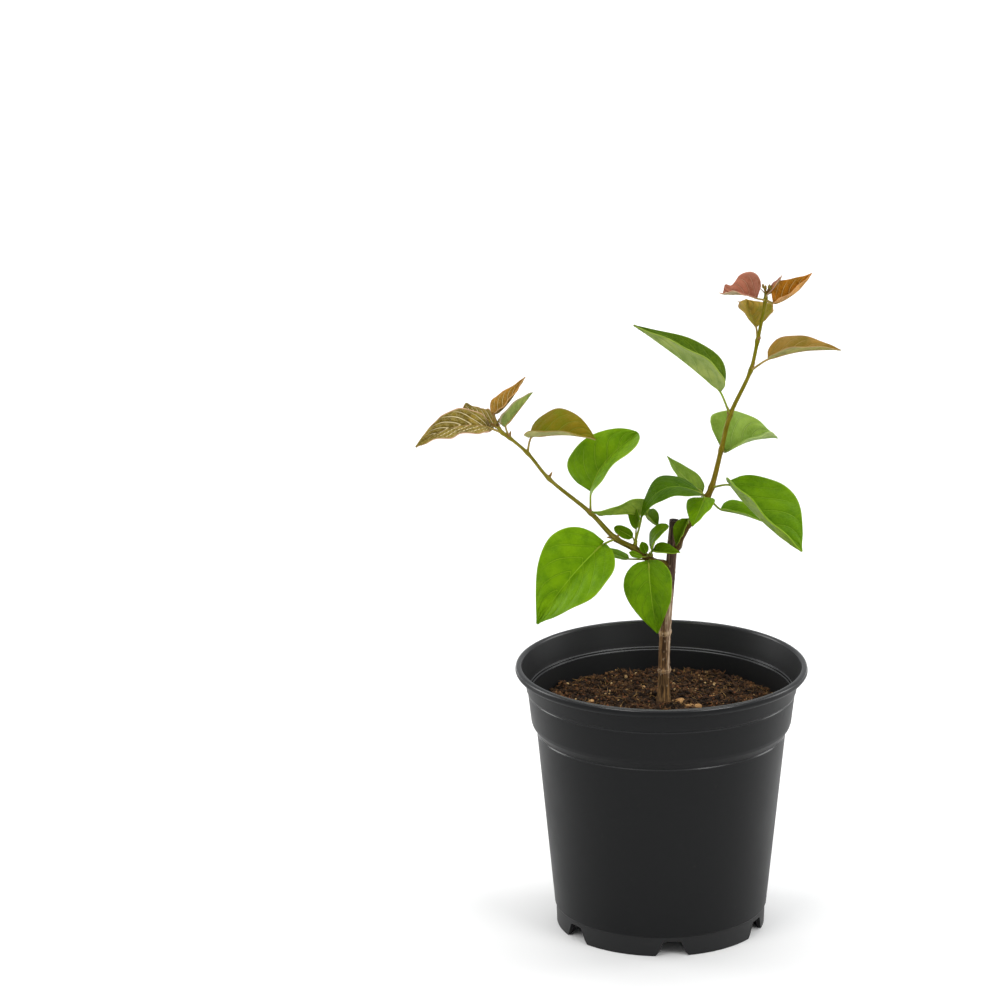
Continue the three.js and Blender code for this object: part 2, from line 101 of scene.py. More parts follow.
# ---- material helpers ----------------------------------------------------------------------
class Recipe:
    """Short calls for the nodes of one material."""

    def __init__(self, name):
        self.look = bpy.data.materials.new(name)
        self.look.use_nodes = True
        self.nodes = self.look.node_tree.nodes
        self.links = self.look.node_tree.links
        self.shader = self.nodes["Principled BSDF"]

    def feed(self, socket, value):
        if isinstance(value, bpy.types.NodeSocket):
            self.links.new(value, socket)
        elif isinstance(value, (tuple, list)) and socket.type == "RGBA":
            socket.default_value = (*value[:3], 1)
        else:
            socket.default_value = value

    def coordinate(self, scale=(1, 1, 1), attribute=None):
        if attribute:
            source = self.nodes.new("ShaderNodeAttribute")
            source.attribute_name = attribute
            vector = source.outputs["Vector"]
        else:
            vector = self.nodes.new("ShaderNodeTexCoord").outputs["Object"]
        mapping = self.nodes.new("ShaderNodeMapping")
        mapping.inputs["Scale"].default_value = scale
        self.feed(mapping.inputs["Vector"], vector)
        return mapping.outputs["Vector"]

    def parts(self, vector):
        split = self.nodes.new("ShaderNodeSeparateXYZ")
        self.feed(split.inputs[0], vector)
        return split.outputs

    def math(self, operation, first, second=0.0):
        node = self.nodes.new("ShaderNodeMath")
        node.operation = operation
        self.feed(node.inputs[0], first)
        self.feed(node.inputs[1], second)
        return node.outputs[0]

    def plus(self, first, second):
        return self.math("ADD", first, second)

    def minus(self, first, second):
        return self.math("SUBTRACT", first, second)

    def times(self, first, second):
        return self.math("MULTIPLY", first, second)

    def span(self, value, low, high, to_low=0.0, to_high=1.0):
        node = self.nodes.new("ShaderNodeMapRange")
        node.interpolation_type = "SMOOTHSTEP"
        self.feed(node.inputs["Value"], value)
        for socket, number in zip(node.inputs[1:5], (low, high, to_low, to_high)):
            self.feed(socket, number)
        return node.outputs["Result"]

    def below(self, value, low, high):
        """1 up to the low value, falling to 0 at the high one."""
        return self.span(value, low, high, 1, 0)

    def noise(self, vector, scale, detail=3.0, roughness=0.55):
        node = self.nodes.new("ShaderNodeTexNoise")
        self.feed(node.inputs["Vector"], vector)
        node.inputs["Scale"].default_value = scale
        node.inputs["Detail"].default_value = detail
        node.inputs["Roughness"].default_value = roughness
        return node.outputs["Fac"]

    def grain(self, stretch, scale, detail=4, roughness=0.6):
        """Noise drawn out along a limb; a low stretch makes long streaks."""
        return self.noise(self.coordinate((1, 1, stretch), "grain"), scale, detail, roughness)

    def cells(self, vector, scale, feature="DISTANCE_TO_EDGE"):
        node = self.nodes.new("ShaderNodeTexVoronoi")
        node.feature = feature
        self.feed(node.inputs["Vector"], vector)
        node.inputs["Scale"].default_value = scale
        return node.outputs["Distance"]

    def mix(self, share, first, second):
        node = self.nodes.new("ShaderNodeMix")
        node.data_type = "RGBA"
        self.feed(node.inputs["Factor"], share)
        self.feed(node.inputs[6], first)
        self.feed(node.inputs[7], second)
        return node.outputs[2]

    def over(self, tone, mask, amount, colour):
        """The tone with a colour laid over it where the mask is high."""
        return self.mix(self.times(mask, amount), tone, colour)

    def ramp(self, value, stops):
        node = self.nodes.new("ShaderNodeValToRGB")
        points = node.color_ramp.elements
        while len(points) < len(stops):
            points.new(0.5)
        for point, (place, colour) in zip(points, stops):
            point.position = place
            point.color = (*colour, 1)
        self.feed(node.inputs["Fac"], value)
        return node.outputs["Color"]

    def bump(self, height, depth):
        """depth is the height of the relief in metres."""
        node = self.nodes.new("ShaderNodeBump")
        node.inputs["Strength"].default_value = 1
        node.inputs["Distance"].default_value = depth
        self.feed(node.inputs["Height"], height)
        self.feed(self.shader.inputs["Normal"], node.outputs["Normal"])

    def finish(self, colour, roughness, gloss, sheen=(1, 1, 1)):
        """sheen is the colour that the material gives to what it reflects."""
        self.feed(self.shader.inputs["Base Color"], colour)
        self.feed(self.shader.inputs["Roughness"], roughness)
        self.shader.inputs["Specular IOR Level"].default_value = gloss
        self.shader.inputs["Specular Tint"].default_value = (*sheen, 1)
        return self.look


# ---- materials -----------------------------------------------------------------------------
def pot_plastic(name, gloss, rough):
    """Charcoal moulded plastic: a fine grain, faint scuffs and a little dust."""
    r = Recipe(name)
    place = r.coordinate()
    grain = r.noise(place, 1400, 2, 0.6)
    cloud = r.noise(place, 22, 4, 0.6)
    scuff = r.span(r.noise(r.coordinate((1, 1, 7)), 90, 5, 0.7), 0.62, 0.8)
    dust = r.span(r.noise(place, 260, 5, 0.75), 0.6, 0.78)
    tone = r.mix(cloud, (0.0052, 0.0055, 0.006), (0.0085, 0.0088, 0.0092))
    tone = r.over(tone, scuff, 0.2, (0.03, 0.03, 0.03))
    tone = r.over(tone, dust, 0.15, (0.045, 0.04, 0.034))
    r.bump(r.plus(grain, r.times(scuff, 0.4)), 0.000015)
    return r.finish(tone, r.span(cloud, 0.3, 0.7, rough - 0.04, rough + 0.04), gloss)


def soil_finish(name, dark, light, speck, rough=0.92):
    """Crumbly matter: light grains among dark ones, darker patches and fine bright specks."""
    r = Recipe(name)
    place = r.coordinate()
    coarse = r.noise(place, 240, 5, 0.7)
    fine = r.noise(place, 1500, 4, 0.7)
    patch = r.noise(place, 95, 3, 0.6)
    tone = r.mix(r.span(coarse, 0.35, 0.68), dark, light)
    tone = r.over(tone, r.below(patch, 0.38, 0.56), 0.6, dark)
    tone = r.over(tone, r.span(fine, 0.58, 0.72), 0.5, speck)
    r.bump(r.plus(coarse, fine), 0.0004)
    return r.finish(tone, rough, 0.25)


def bark_finish():
    """Streaked brown bark, painted cream on its right side where the light falls, and purplish
    above.
    """
    r = Recipe("trunk_bark")
    east, _, height = r.parts(r.coordinate())
    streaks = r.grain(0.07, 1300)
    broad = r.grain(0.12, 420, 2)
    pores = r.grain(0.6, 1500, 4, 0.7)
    flecks = r.below(r.cells(r.coordinate((1, 1, 0.55), "grain"), 560, "F1"), 0.1, 0.24)
    # painted light: the lower trunk turns cream towards its right (+X) side, where the light falls
    lit_side = r.span(r.plus(east, r.times(r.minus(broad, 0.5), 0.004)), 0.0012, 0.0036)
    brown = r.ramp(streaks, [(0.36, (0.035, 0.015, 0.004)), (0.5, (0.13, 0.062, 0.02)),
                             (0.64, (0.42, 0.23, 0.085))])
    lit_cream = r.ramp(streaks, [(0.34, (0.13, 0.065, 0.035)), (0.5, (0.34, 0.22, 0.13)),
                             (0.62, (0.72, 0.55, 0.38))])
    lower = r.mix(lit_side, brown, lit_cream)
    upper = r.ramp(streaks, [(0.36, (0.028, 0.014, 0.008)), (0.52, (0.1, 0.05, 0.03)),
                             (0.68, (0.3, 0.19, 0.12))])
    foot = r.ramp(streaks, [(0.36, (0.045, 0.022, 0.007)), (0.52, (0.15, 0.082, 0.028)),
                            (0.68, (0.4, 0.22, 0.08))])
    wander = r.plus(height, r.times(r.minus(broad, 0.5), 0.02))
    tone = r.mix(r.span(wander, 0.144, 0.158), lower, upper)
    tone = r.mix(r.below(height, 0.1135, 0.1162), tone, foot)
    for collar in TRUNK_COLLARS:
        near = r.below(r.math("ABSOLUTE", r.minus(height, collar * MM)), 0.0004, 0.0014)
        tone = r.over(tone, near, r.span(pores, 0.42, 0.6), (0.62, 0.42, 0.24))
    tone = r.over(tone, r.span(pores, 0.58, 0.68), 0.35, (0.03, 0.016, 0.006))
    tone = r.over(tone, flecks, 0.45, (0.66, 0.5, 0.34))
    tone = r.mix(r.span(height, 0.1815, 0.184), tone, (0.05, 0.028, 0.018))
    r.bump(r.plus(streaks, r.times(pores, 0.5)), 0.0005)
    return r.finish(tone, r.span(streaks, 0.3, 0.7, 0.8, 0.55), 0.3)


def shoot_finish(name, low, middle, high, blush, length):
    """Green wood: brown at its foot and greener towards the tip, with fine streaks."""
    r = Recipe(name)
    along = r.parts(r.coordinate(attribute="grain"))[2]
    streaks = r.grain(0.1, 2100)
    patches = r.grain(0.5, 300, 3)
    share = r.plus(r.math("DIVIDE", along, length * MM), r.times(r.minus(patches, 0.5), 0.25))
    tone = r.ramp(share, [(0.02, low), (0.3, middle), (0.85, high)])
    tone = r.over(tone, r.span(streaks, 0.42, 0.66), 0.5, blush)
    tone = r.over(tone, r.below(streaks, 0.34, 0.48), 0.5, (0.055, 0.04, 0.006))
    r.bump(streaks, 0.00018)
    return r.finish(tone, r.span(patches, 0.3, 0.7, 0.55, 0.4), 0.3, sheen=blush)


def scaled(colour, *shares):
    """A colour with each channel, or all three alike, made stronger or weaker."""
    return tuple(min(1, share * c) for share, c in zip(shares * (3 // len(shares)), colour))


def blade_finish(name, face, vein, margin, rib, under=False, rough=0.5, lateral=0.72, edge=0.95,
                 mottle=0.62, shade=None, border=0.55, net=0.14, gloss=0.22, thick=0.1):
    """One side of a leaf. vein, margin and rib are its colours along those lines, shade that of its
    dark clouds and of the painted shade beside the side veins and in the groove of the midrib.
    lateral, mottle, border and net say how strongly the side veins, the clouds, the margin and the
    fine net of veins show; thick is the width of a side vein, and edge the place where the margin
    begins."""
    r = Recipe(name)
    across, along, count = r.parts(r.coordinate(attribute="blade"))
    flat = r.coordinate(attribute="lamina")
    side = r.math("ABSOLUTE", across)
    # off runs from 0 on a side vein to 1 halfway to the next
    off = r.times(r.math("ABSOLUTE", r.minus(r.math("FRACT", count), 0.5)), 2)
    reach = r.span(side, 0.6, 0.97, 1, 0.05)
    veins = r.times(r.below(off, 0.2 * thick, thick), reach)
    shadow = r.times(r.below(off, thick, 2.4 * thick), reach)
    # the midrib tapers towards the tip, in a groove that painted shade makes a little darker
    narrow = r.math("DIVIDE", r.math("ABSOLUTE", r.parts(flat)[0]), r.minus(1.15, along))
    ribs = r.below(narrow, 0.0002, 0.00045)
    midrib_shade = r.times(r.below(narrow, 0.0004, 0.0014), 0.3)
    warp = r.noise(flat, 500, 2)
    mesh = r.below(r.cells(flat, 620), 0.02, 0.1)
    dark = shade or scaled(face, 0.55, 0.66, 0.5)
    light = scaled(face, 1.42, 1.28, 1.2)
    tone = r.over(face, r.span(r.noise(flat, 150, 3, 0.6), 0.42, 0.64), mottle, dark)
    tone = r.over(tone, r.span(r.noise(flat, 90, 2, 0.6), 0.46, 0.68), mottle, light)
    tone = r.over(tone, mesh, net, vein)
    tone = r.over(tone, r.plus(shadow, midrib_shade), 0.52, dark)
    tone = r.over(tone, veins, lateral, vein)
    tone = r.over(tone, ribs, 0.66, rib)
    tone = r.over(tone, r.span(side, edge, 1.0), border, margin)
    lines = r.plus(r.times(mesh, 0.35), r.plus(veins, ribs))
    r.bump(r.plus(r.times(lines, 1.0 if under else -1.0), r.times(warp, 0.8)), 0.00015)
    sheen = tuple(lerp(1, c / max(face), 0.8) for c in face)
    return r.finish(tone, r.span(warp, 0.3, 0.7, rough + 0.05, rough - 0.05), gloss, sheen)


# Finish of each kind of leaf: colours of its upper face, its veins, its margin, its under face.
KINDS = {
    "green": dict(face=(0.096, 0.202, 0.001), vein=(0.21, 0.36, 0.012), margin=(0.25, 0.4, 0.015),
                  under=(0.2, 0.3, 0.035), rib=(0.28, 0.45, 0.03)),
    "fresh": dict(face=(0.122, 0.25, 0.001), vein=(0.23, 0.4, 0.012), margin=(0.3, 0.46, 0.02),
                  under=(0.23, 0.36, 0.045), rib=(0.32, 0.52, 0.03)),
    # painted light: a green made lighter for a leaf, left_leaf_4, that lies in shade
    "bright": dict(face=(0.125, 0.248, 0.002), vein=(0.24, 0.39, 0.02), margin=(0.3, 0.43, 0.03),
                   under=(0.24, 0.36, 0.05), rib=(0.34, 0.5, 0.04)),
    "deep": dict(face=(0.08, 0.162, 0.001), vein=(0.19, 0.31, 0.012), margin=(0.24, 0.36, 0.02),
                 under=(0.17, 0.25, 0.03), rib=(0.27, 0.4, 0.03), gloss=0.12),
    "moss": dict(face=(0.05, 0.096, 0.001), vein=(0.2, 0.3, 0.01), margin=(0.24, 0.34, 0.02),
                 under=(0.25, 0.32, 0.08), rib=(0.34, 0.44, 0.05), shade=(0.035, 0.072, 0.001)),
    # painted shade: a green made darker for a leaf that lies in shade
    "shaded_green": dict(face=(0.05, 0.115, 0.001), vein=(0.12, 0.22, 0.01), margin=(0.16, 0.27, 0.02),
                  under=(0.2, 0.29, 0.06), rib=(0.19, 0.31, 0.03), gloss=0.06),
    "sage": dict(face=(0.19, 0.3, 0.045), vein=(0.34, 0.46, 0.12), margin=(0.36, 0.46, 0.12),
                 under=(0.28, 0.39, 0.1), rib=(0.38, 0.5, 0.13), shade=(0.13, 0.215, 0.012)),
    "grey": dict(face=(0.125, 0.205, 0.02), vein=(0.26, 0.37, 0.07), margin=(0.3, 0.4, 0.09),
                 under=(0.24, 0.35, 0.09), rib=(0.32, 0.44, 0.1), shade=(0.085, 0.15, 0.008)),
    "russet": dict(face=(0.3, 0.15, 0.016), vein=(0.74, 0.54, 0.24), margin=(0.55, 0.28, 0.15),
                   under=(0.42, 0.27, 0.07), rib=(0.68, 0.46, 0.17), edge=0.94, lateral=0.85,
                   shade=(0.14, 0.1, 0.005), thick=0.22, mottle=0.8),
    "olive": dict(face=(0.165, 0.128, 0.003), vein=(0.24, 0.22, 0.02), margin=(0.3, 0.15, 0.04),
                  under=(0.34, 0.33, 0.1), rib=(0.3, 0.27, 0.04), edge=0.93,
                  shade=(0.12, 0.15, 0.001)),
    "khaki": dict(face=(0.22, 0.165, 0.025), vein=(0.78, 0.66, 0.36), margin=(0.64, 0.38, 0.28),
                  under=(0.34, 0.36, 0.1), rib=(0.7, 0.52, 0.3), edge=0.91, lateral=0.95,
                  shade=(0.09, 0.06, 0.006), border=0.85, thick=0.3, mottle=0.95),
    "pale": dict(face=(0.2, 0.22, 0.085), vein=(0.4, 0.4, 0.2), margin=(0.46, 0.33, 0.25),
                 under=(0.26, 0.33, 0.08), rib=(0.46, 0.44, 0.2), edge=0.76, lateral=0.6,
                 shade=(0.12, 0.17, 0.02), thick=0.16, border=0.7, mottle=0.85),
    "copper": dict(face=(0.44, 0.17, 0.008), vein=(0.85, 0.55, 0.2), margin=(0.55, 0.28, 0.13),
                   under=(0.55, 0.27, 0.06), rib=(0.7, 0.45, 0.13), edge=0.94, lateral=0.8,
                   shade=(0.22, 0.1, 0.004), thick=0.2, mottle=0.8),
    "rose": dict(face=(0.285, 0.108, 0.066), vein=(0.5, 0.26, 0.16), margin=(0.55, 0.32, 0.24),
                 under=(0.36, 0.27, 0.13), rib=(0.5, 0.3, 0.18), edge=0.93,
                 shade=(0.18, 0.055, 0.022), thick=0.16, mottle=0.8),
    "bronze": dict(face=(0.235, 0.14, 0.022), vein=(0.38, 0.25, 0.07), margin=(0.42, 0.22, 0.13),
                   under=(0.28, 0.25, 0.05), rib=(0.45, 0.34, 0.09), edge=0.9,
                   shade=(0.15, 0.105, 0.004), thick=0.15, mottle=0.8),
    # partly painted light: bronze made lighter for a leaf that lies in shade, and partly the leaf's
    # own more olive tone
    "tawny": dict(face=(0.29, 0.205, 0.026), vein=(0.46, 0.34, 0.09), margin=(0.5, 0.28, 0.18),
                  under=(0.3, 0.27, 0.05), rib=(0.42, 0.42, 0.06), edge=0.9,
                  shade=(0.2, 0.2, 0.008), thick=0.15, mottle=0.9),
}
YOUNG_KINDS = ("russet", "olive", "khaki", "pale", "copper", "rose", "bronze", "tawny")


def kind_materials():
    """The looks of the upper and the under face of each kind of leaf."""
    made = {}
    for kind, look in KINDS.items():
        young = kind in YOUNG_KINDS
        upper = {**look}
        under = upper.pop("under")
        lower = {**upper, "face": under, "vein": scaled(under, 1.35), "rib": scaled(under, 1.5),
                 "shade": scaled(under, 0.55) if young else None}
        made[kind] = (
            blade_finish(f"{kind}_blade_upper", rough=0.5 if young else 0.44, **upper),
            blade_finish(f"{kind}_blade_under", rough=0.6, under=True, **lower),
        )
    return made


# ---- making pieces -------------------------------------------------------------------------
def mesh_of(name, bm):
    mesh = bpy.data.meshes.new(name)
    bm.to_mesh(mesh)
    bm.free()
    return mesh


def add_piece(name, bm, looks, replaces=None):
    """Adds a smooth piece of the plant; looks has one material, or one for each face index."""
    for face in bm.faces:
        face.smooth = True
    return add_mesh(name, mesh_of(name, bm), looks, replaces)


def add_limbs(name, bm, look, replaces=None):
    """Adds rolled limbs as one piece, with their faces turned outwards."""
    bmesh.ops.recalc_face_normals(bm, faces=bm.faces)
    add_piece(name, bm, [look], replaces)


def add_mesh(name, mesh, looks, replaces=None):
    for look in looks:
        mesh.materials.append(look)
    piece = bpy.data.objects.new(name, mesh)
    scene.collection.objects.link(piece)
    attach(piece, "root")
    if replaces:
        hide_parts(replaces)
    return piece


def heading(turn, rise):
    """Unit vector from a heading (degrees from +X towards +Y) and a rise above the level."""
    h, r = math.radians(turn), math.radians(rise)
    return Vector((math.cos(r) * math.cos(h), math.cos(r) * math.sin(h), math.sin(r)))


def lerp(a, b, share):
    return a + (b - a) * share


def smoothstep(low, high, value):
    x = min(1.0, max(0.0, (value - low) / (high - low)))
    return x * x * (3 - 2 * x)


def course(nodes, steps):
    """Points at equal lengths along the centripetal curve through the nodes, and its length."""
    nodes = [Vector(n) for n in nodes]
    ends = [2 * nodes[0] - nodes[1], *nodes, 2 * nodes[-1] - nodes[-2]]
    fine = []
    for a, b, c, d in zip(ends, ends[1:], ends[2:], ends[3:]):
        before, here, after = ((q - p).length ** 0.5 for p, q in ((a, b), (b, c), (c, d)))
        leave = ((b - a) / before - (c - a) / (before + here) + (c - b) / here) * here
        arrive = ((c - b) / here - (d - b) / (here + after) + (d - c) / after) * here
        for i in range(16):
            s = i / 16
            fine.append((2 * s**3 - 3 * s**2 + 1) * b + (s**3 - 2 * s**2 + s) * leave
                        + (3 * s**2 - 2 * s**3) * c + (s**3 - s**2) * arrive)
    fine.append(nodes[-1])
    table = np.array([p[:] for p in fine])
    lengths = np.concatenate([[0], np.cumsum(np.linalg.norm(np.diff(table, axis=0), axis=1))])
    at = np.linspace(0, lengths[-1], steps + 1)
    points = np.stack([np.interp(at, lengths, table[:, k]) for k in range(3)], axis=1)
    return [Vector(p) for p in points], float(lengths[-1])


def frames_along(points):
    """Tangent, normal and binormal at each point, turned as little as possible."""
    tangents = [(after - before).normalized()
                for before, after in zip(points[:1] + points, points[1:] + points[-1:])]
    normal = tangents[0].orthogonal().normalized()
    made = []
    last = tangents[0]
    for t in tangents:
        normal = last.rotation_difference(t) @ normal
        normal = (normal - t * normal.dot(t)).normalized()
        made.append((t, normal, t.cross(normal)))
        last = t
    return made


def roll_limb(bm, points, length, radius_at, around):
    """Rolls a grid into a closed limb; radius_at(share, angle, centre) is in millimetres."""
    grain = bm.verts.layers.float_vector.get("grain") or bm.verts.layers.float_vector.new("grain")
    steps = len(points) - 1
    made = bmesh.ops.create_grid(bm, x_segments=around, y_segments=steps, size=1)["verts"]
    frames = frames_along(points)
    for v in made:
        angle = math.pi * (v.co.x + 1)
        i = round((v.co.y + 1) / 2 * steps)
        share = i / steps
        _, normal, side = frames[i]
        radius = radius_at(share, angle, points[i])
        way = normal * math.cos(angle) + side * math.sin(angle)
        v[grain] = Vector((radius * math.cos(angle), radius * math.sin(angle), share * length)) * MM
        v.co = (points[i] + way * radius) * MM
    bmesh.ops.remove_doubles(bm, verts=made, dist=1e-8)
    rims = [e for v in made if v.is_valid for e in v.link_edges if e.is_boundary]
    bmesh.ops.holes_fill(bm, edges=list(dict.fromkeys(rims)), sides=0)


# ---- trunk and shoots ----------------------------------------------------------------------
TRUNK_FOOT = (1, 4, 103)  # where the trunk leaves the soil
TRUNK_BEND = [(29.3, 0, 89), (28, 0, 86), (28, 0, 86)]  # length, heading and rise of each part
TRUNK_RADIUS = (2.6, 2.08)
TRUNK_COLLARS = (116.5, 134)


def stem_nodes(start, internodes):
    nodes = [Vector(start)]
    for length, turn, rise in internodes:
        nodes.append(nodes[-1] + heading(turn, rise) * length)
    return nodes


def hill(distance, width):
    """A round bump, 1 high in its middle."""
    return math.exp(-(distance / width) ** 2)


def relief(angle, run, *layers):
    """Uneven bark; each layer has its depth, its fineness round the limb and along it."""
    ring = Vector((math.cos(angle), math.sin(angle), 0))
    return sum(depth * noise.noise(ring * around + UP * run * along)
               for depth, around, along in layers)


def lumps(x, y, *layers):
    """Uneven ground; each layer has its height, its own slice of the noise and its fineness."""
    return sum(height * noise.noise(Vector((x, y, part)) * fine)
               for height, part, fine in layers)


def make_trunk(look):
    """The woody cutting, with ring scars, shallow ridges, small warts and a cut top."""
    rng = random.Random(11)
    nodes = stem_nodes((TRUNK_FOOT[0], TRUNK_FOOT[1], 101.2), TRUNK_BEND)
    points, length = course(nodes, 220)
    warts = [(rng.uniform(105, 165), rng.uniform(0, TURN), rng.uniform(0.28, 0.5),
              rng.uniform(0.1, 0.26)) for _ in range(46)]

    def radius(share, angle, centre):
        collars = sum((0.42 + 0.16 * math.sin(3 * angle + z) + 0.12 * math.sin(7 * angle))
                      * hill(centre.z - z - 0.5 * math.sin(angle + z), 1.25)
                      for z in TRUNK_COLLARS)
        flare = 0.7 * math.exp(-max(0, centre.z - TRUNK_FOOT[2]) / 3)
        ridges = relief(angle, centre.z, (0.2, 3.1, 0.07), (0.11, 7.5, 0.16), (0.05, 14, 0.5))
        base = lerp(*TRUNK_RADIUS, share)
        bumps = sum(h * math.exp(-(((centre.z - z) / (1.4 * w)) ** 2
                                   + (base * math.sin((angle - a) / 2) * 2 / w) ** 2))
                    for z, a, w, h in warts)
        stub = 0.16 * smoothstep(183.2, 184.4, centre.z)
        return base + collars + flare + ridges + bumps + stub

    bm = bmesh.new()
    roll_limb(bm, points, length, radius, 56)
    # the cut top: a rounded rim round a slightly sunken, darker face
    top = max((f for f in bm.faces if len(f.verts) > 8), key=lambda f: f.calc_center_median().z)
    for depth, thick in ((0.05, 0.25), (-0.12, 0.25), (-0.15, 0.55), (0.05, 0.5)):
        bmesh.ops.inset_region(bm, faces=[top], thickness=thick * MM, depth=depth * MM)
    add_limbs("trunk_bark", bm, look, replaces="trunk")


# start and internodes as in stem_nodes; radius at the foot and the tip. heel and knots: how far
# the joint on the trunk and the foot swell. thorns: node, heading, rise, length.
STEMS = {
    "left": dict(
        start=(2.3, 4, 165.1),
        internodes=[(9, -159, 25), (9, -162, 39), (10.5, -160, 32), (17, -166, 48),
                    (25, -167, 42), (15.5, -168, 52), (11, -166, 43), (4, -162, 38),
                    (4.5, -169, 53)],
        radius=(1.7, 0.7), heel=0.55, knots=0,
        thorns=[(3, 180, 5, 3), (4, 170, 50, 2.2), (5, 20, 60, 2), (6, 160, 40, 2),
                (7, 60, 60, 1.5)],
    ),
    "right": dict(
        start=(5.5, 4, 173),
        internodes=[(12.5, 18, 59), (15, 13, 55), (4.5, 32, 61), (17.5, 13, 76), (16, 13, 76),
                    (22, 7, 66), (13.5, 19, 77), (18.5, 18, 79), (4, -23, 87)],
        radius=(1.65, 0.78), heel=1, knots=0.35,
        thorns=[(3, -20, 65, 2.8), (5, 180, 75, 2.4), (6, -10, 60, 2.6)],
    ),
}
for stem in STEMS.values():
    stem["nodes"] = stem_nodes(stem["start"], stem["internodes"])


def stem_radius(stem, share, centre):
    """Radius of a shoot, which thins fast at first and swells at each node."""
    first, last = stem["radius"]
    swelling = sum(0.3 * hill((centre - n).length, 1.6) for n in stem["nodes"][1:-1])
    return last + (first - last) * (1 - share) ** 2.2 + swelling


def make_shoot(side, look):
    stem = STEMS[side]
    points, length = course(stem["nodes"], 300)

    def radius(share, angle, centre):
        run = share * length
        base = stem_radius(stem, share, centre) + stem["heel"] * hill(run - 2, 2.6)
        ridges = relief(angle, run, (0.085, 2.6, 0.05), (0.05, 6, 0.14))
        knots = stem["knots"] * hill(run - 9, 5) * relief(angle, run, (1, 2.2, 0.5))
        return base * (1 + 0.6 * ridges) + knots

    bm = bmesh.new()
    roll_limb(bm, points, length, radius, 36)
    add_limbs(f"{side}_shoot_stem", bm, look, replaces=f"{side}_shoot")


def add_bud(bm, root, way, length, width, bend=0.0, around=12):
    """A pointed scale or thorn that swells a little above its root."""
    tip = root + way * length + UP * bend
    points, run = course([root, root.lerp(tip, 0.5) + UP * bend * 0.2, tip], 10)

    def radius(share, angle, _):
        body = math.sin(math.pi * min(1, 0.25 + 0.75 * share)) ** 0.8
        return max(0.03, width * body) * (1 + 0.06 * math.sin(3 * angle))

    roll_limb(bm, points, run, radius, around)


def make_buds(side, look):
    """Thorns, and the small buds in the axils of the leaves."""
    stem = STEMS[side]
    rng = random.Random(5 if side == "left" else 6)
    bm = bmesh.new()
    for node, turn, rise, length in stem["thorns"]:
        way = heading(turn, rise)
        root = stem["nodes"][node] + way * stem["radius"][1] * 0.5
        add_bud(bm, root, way, length + 1, 0.55, 0.3)
        for swing in (-70, 80):
            other = heading(turn + swing, rise * 0.7)
            add_bud(bm, root, (other + UP * 0.5).normalized(), length * 0.45 + 0.7, 0.5)
    for node in range(1, len(stem["nodes"]) - 2):
        for _ in range(2):
            way = heading(rng.uniform(-180, 180), 40)
            share = node / len(stem["internodes"])
            reach = stem_radius(stem, share, stem["nodes"][node]) * 0.75
            add_bud(bm, stem["nodes"][node] + way * reach, (way + UP * 0.8).normalized(),
                    rng.uniform(1.1, 2.0), rng.uniform(0.42, 0.62))
    add_limbs(f"{side}_shoot_buds", bm, look)


# ---- leaves --------------------------------------------------------------------------------
# leaf(kind, petiole, blade, turn, fold): petiole is its length, heading and rise from the node,
# blade its length and width, turn its heading, rise and roll, fold the rise of the left and the
# right wing. The rest is left out where it is plain. Shares of the length, from the base: peak is
# where the midrib arches most and widest where the blade is, or one share for each wing. In
# millimetres: arch and hook lift the middle and the tip of the midrib, tail widens the tip.
# lobe draws the wings back past the base, blunt rounds the tip, cup swells the wings; wrinkle,
# ragged and veins are the depth of the quilting, the unevenness of the margin and the number
# of side veins.
def leaf(kind, petiole, blade, turn, fold, **form):
    return dict(kind=kind, petiole=petiole, blade=blade, turn=turn, fold=fold, **form)


SINGLE_LEAVES = {
    "left_leaf_1": leaf("green", (8, -93, 5), (31, 23.5), (-60, -75, 42), (20, 16), on="left",
        node=1, arch=3),
    "left_leaf_2": leaf("green", (10, 169, -2), (14, 8), (168, 24, -11), (16, 10), on="left",
        node=1, arch=-1),
    "left_leaf_3": leaf("fresh", (8, -144, -14), (45, 37), (-173, -51, -52), (21, 23), on="left",
        node=3, arch=4, peak=0.38),
    # this leaf takes the green that is made lighter to paint light onto it where it lies in shade
    "left_leaf_4": leaf("bright", (10.5, -77, 84), (33, 29.5), (6, 50, 34), (31, 33), on="left",
        node=4, arch=5, peak=0.42, widest=(0.26, 0.85), lobe=0.01, blunt=0.7, hook=1),
    "left_leaf_5": leaf("olive", (7.5, 2, 75), (30.5, 25.5), (-23, 4, 16), (32, 38), on="left",
        node=6, arch=2, peak=0.58),
    "left_leaf_6": leaf("pale", (6, -147, 73), (19.5, 15.5), (-10, 52, -8), (22, 26), on="left",
        node=7, blunt=0.7),
    "knob_leaf": leaf("deep", (9, -91, 30), (13.5, 9.5), (167, -67, -64), (53, 43), on="right",
        node=1, widest=0.4),
    "right_leaf_1": leaf("fresh", (10, 35, -45), (22.5, 13.5), (-3, -17, 10), (27, 31),
        on="right", node=2, arch=1, lobe=0),
    "right_leaf_2": leaf("green", (10.5, -35, 14), (48.5, 38), (-46, -25, -10), (42, 38),
        on="right", node=3, arch=-2, peak=0.59, widest=0.4),
    "right_leaf_3": leaf("sage", (5, 61, -24), (28.5, 34.5), (37, 3, 14), (52, 41), on="right",
        node=4, arch=2.5, widest=(0.13, 0.22)),
    "right_leaf_4": leaf("moss", (14.3, -136, 61.5), (47.5, 27), (177.5, 37.5, -1.5),
        (44.5, 42.5), on="right", node=5, arch=1, peak=0.34, lobe=0.02),
    "right_leaf_5": leaf("bronze", (10, -22, 36), (32, 20.5), (2, 7, 4), (29, 30), on="right",
        node=6, arch=2, lobe=0),
    # this leaf takes the bronze that is made lighter to paint light onto it, with its own more
    # olive tone
    "right_leaf_6": leaf("tawny", (6, 106, 69), (18, 22), (106, 29, 7), (42, 40), on="right",
        node=7, arch=-1, widest=0.47, lobe=0, wrinkle=3, ragged=0.08),
}

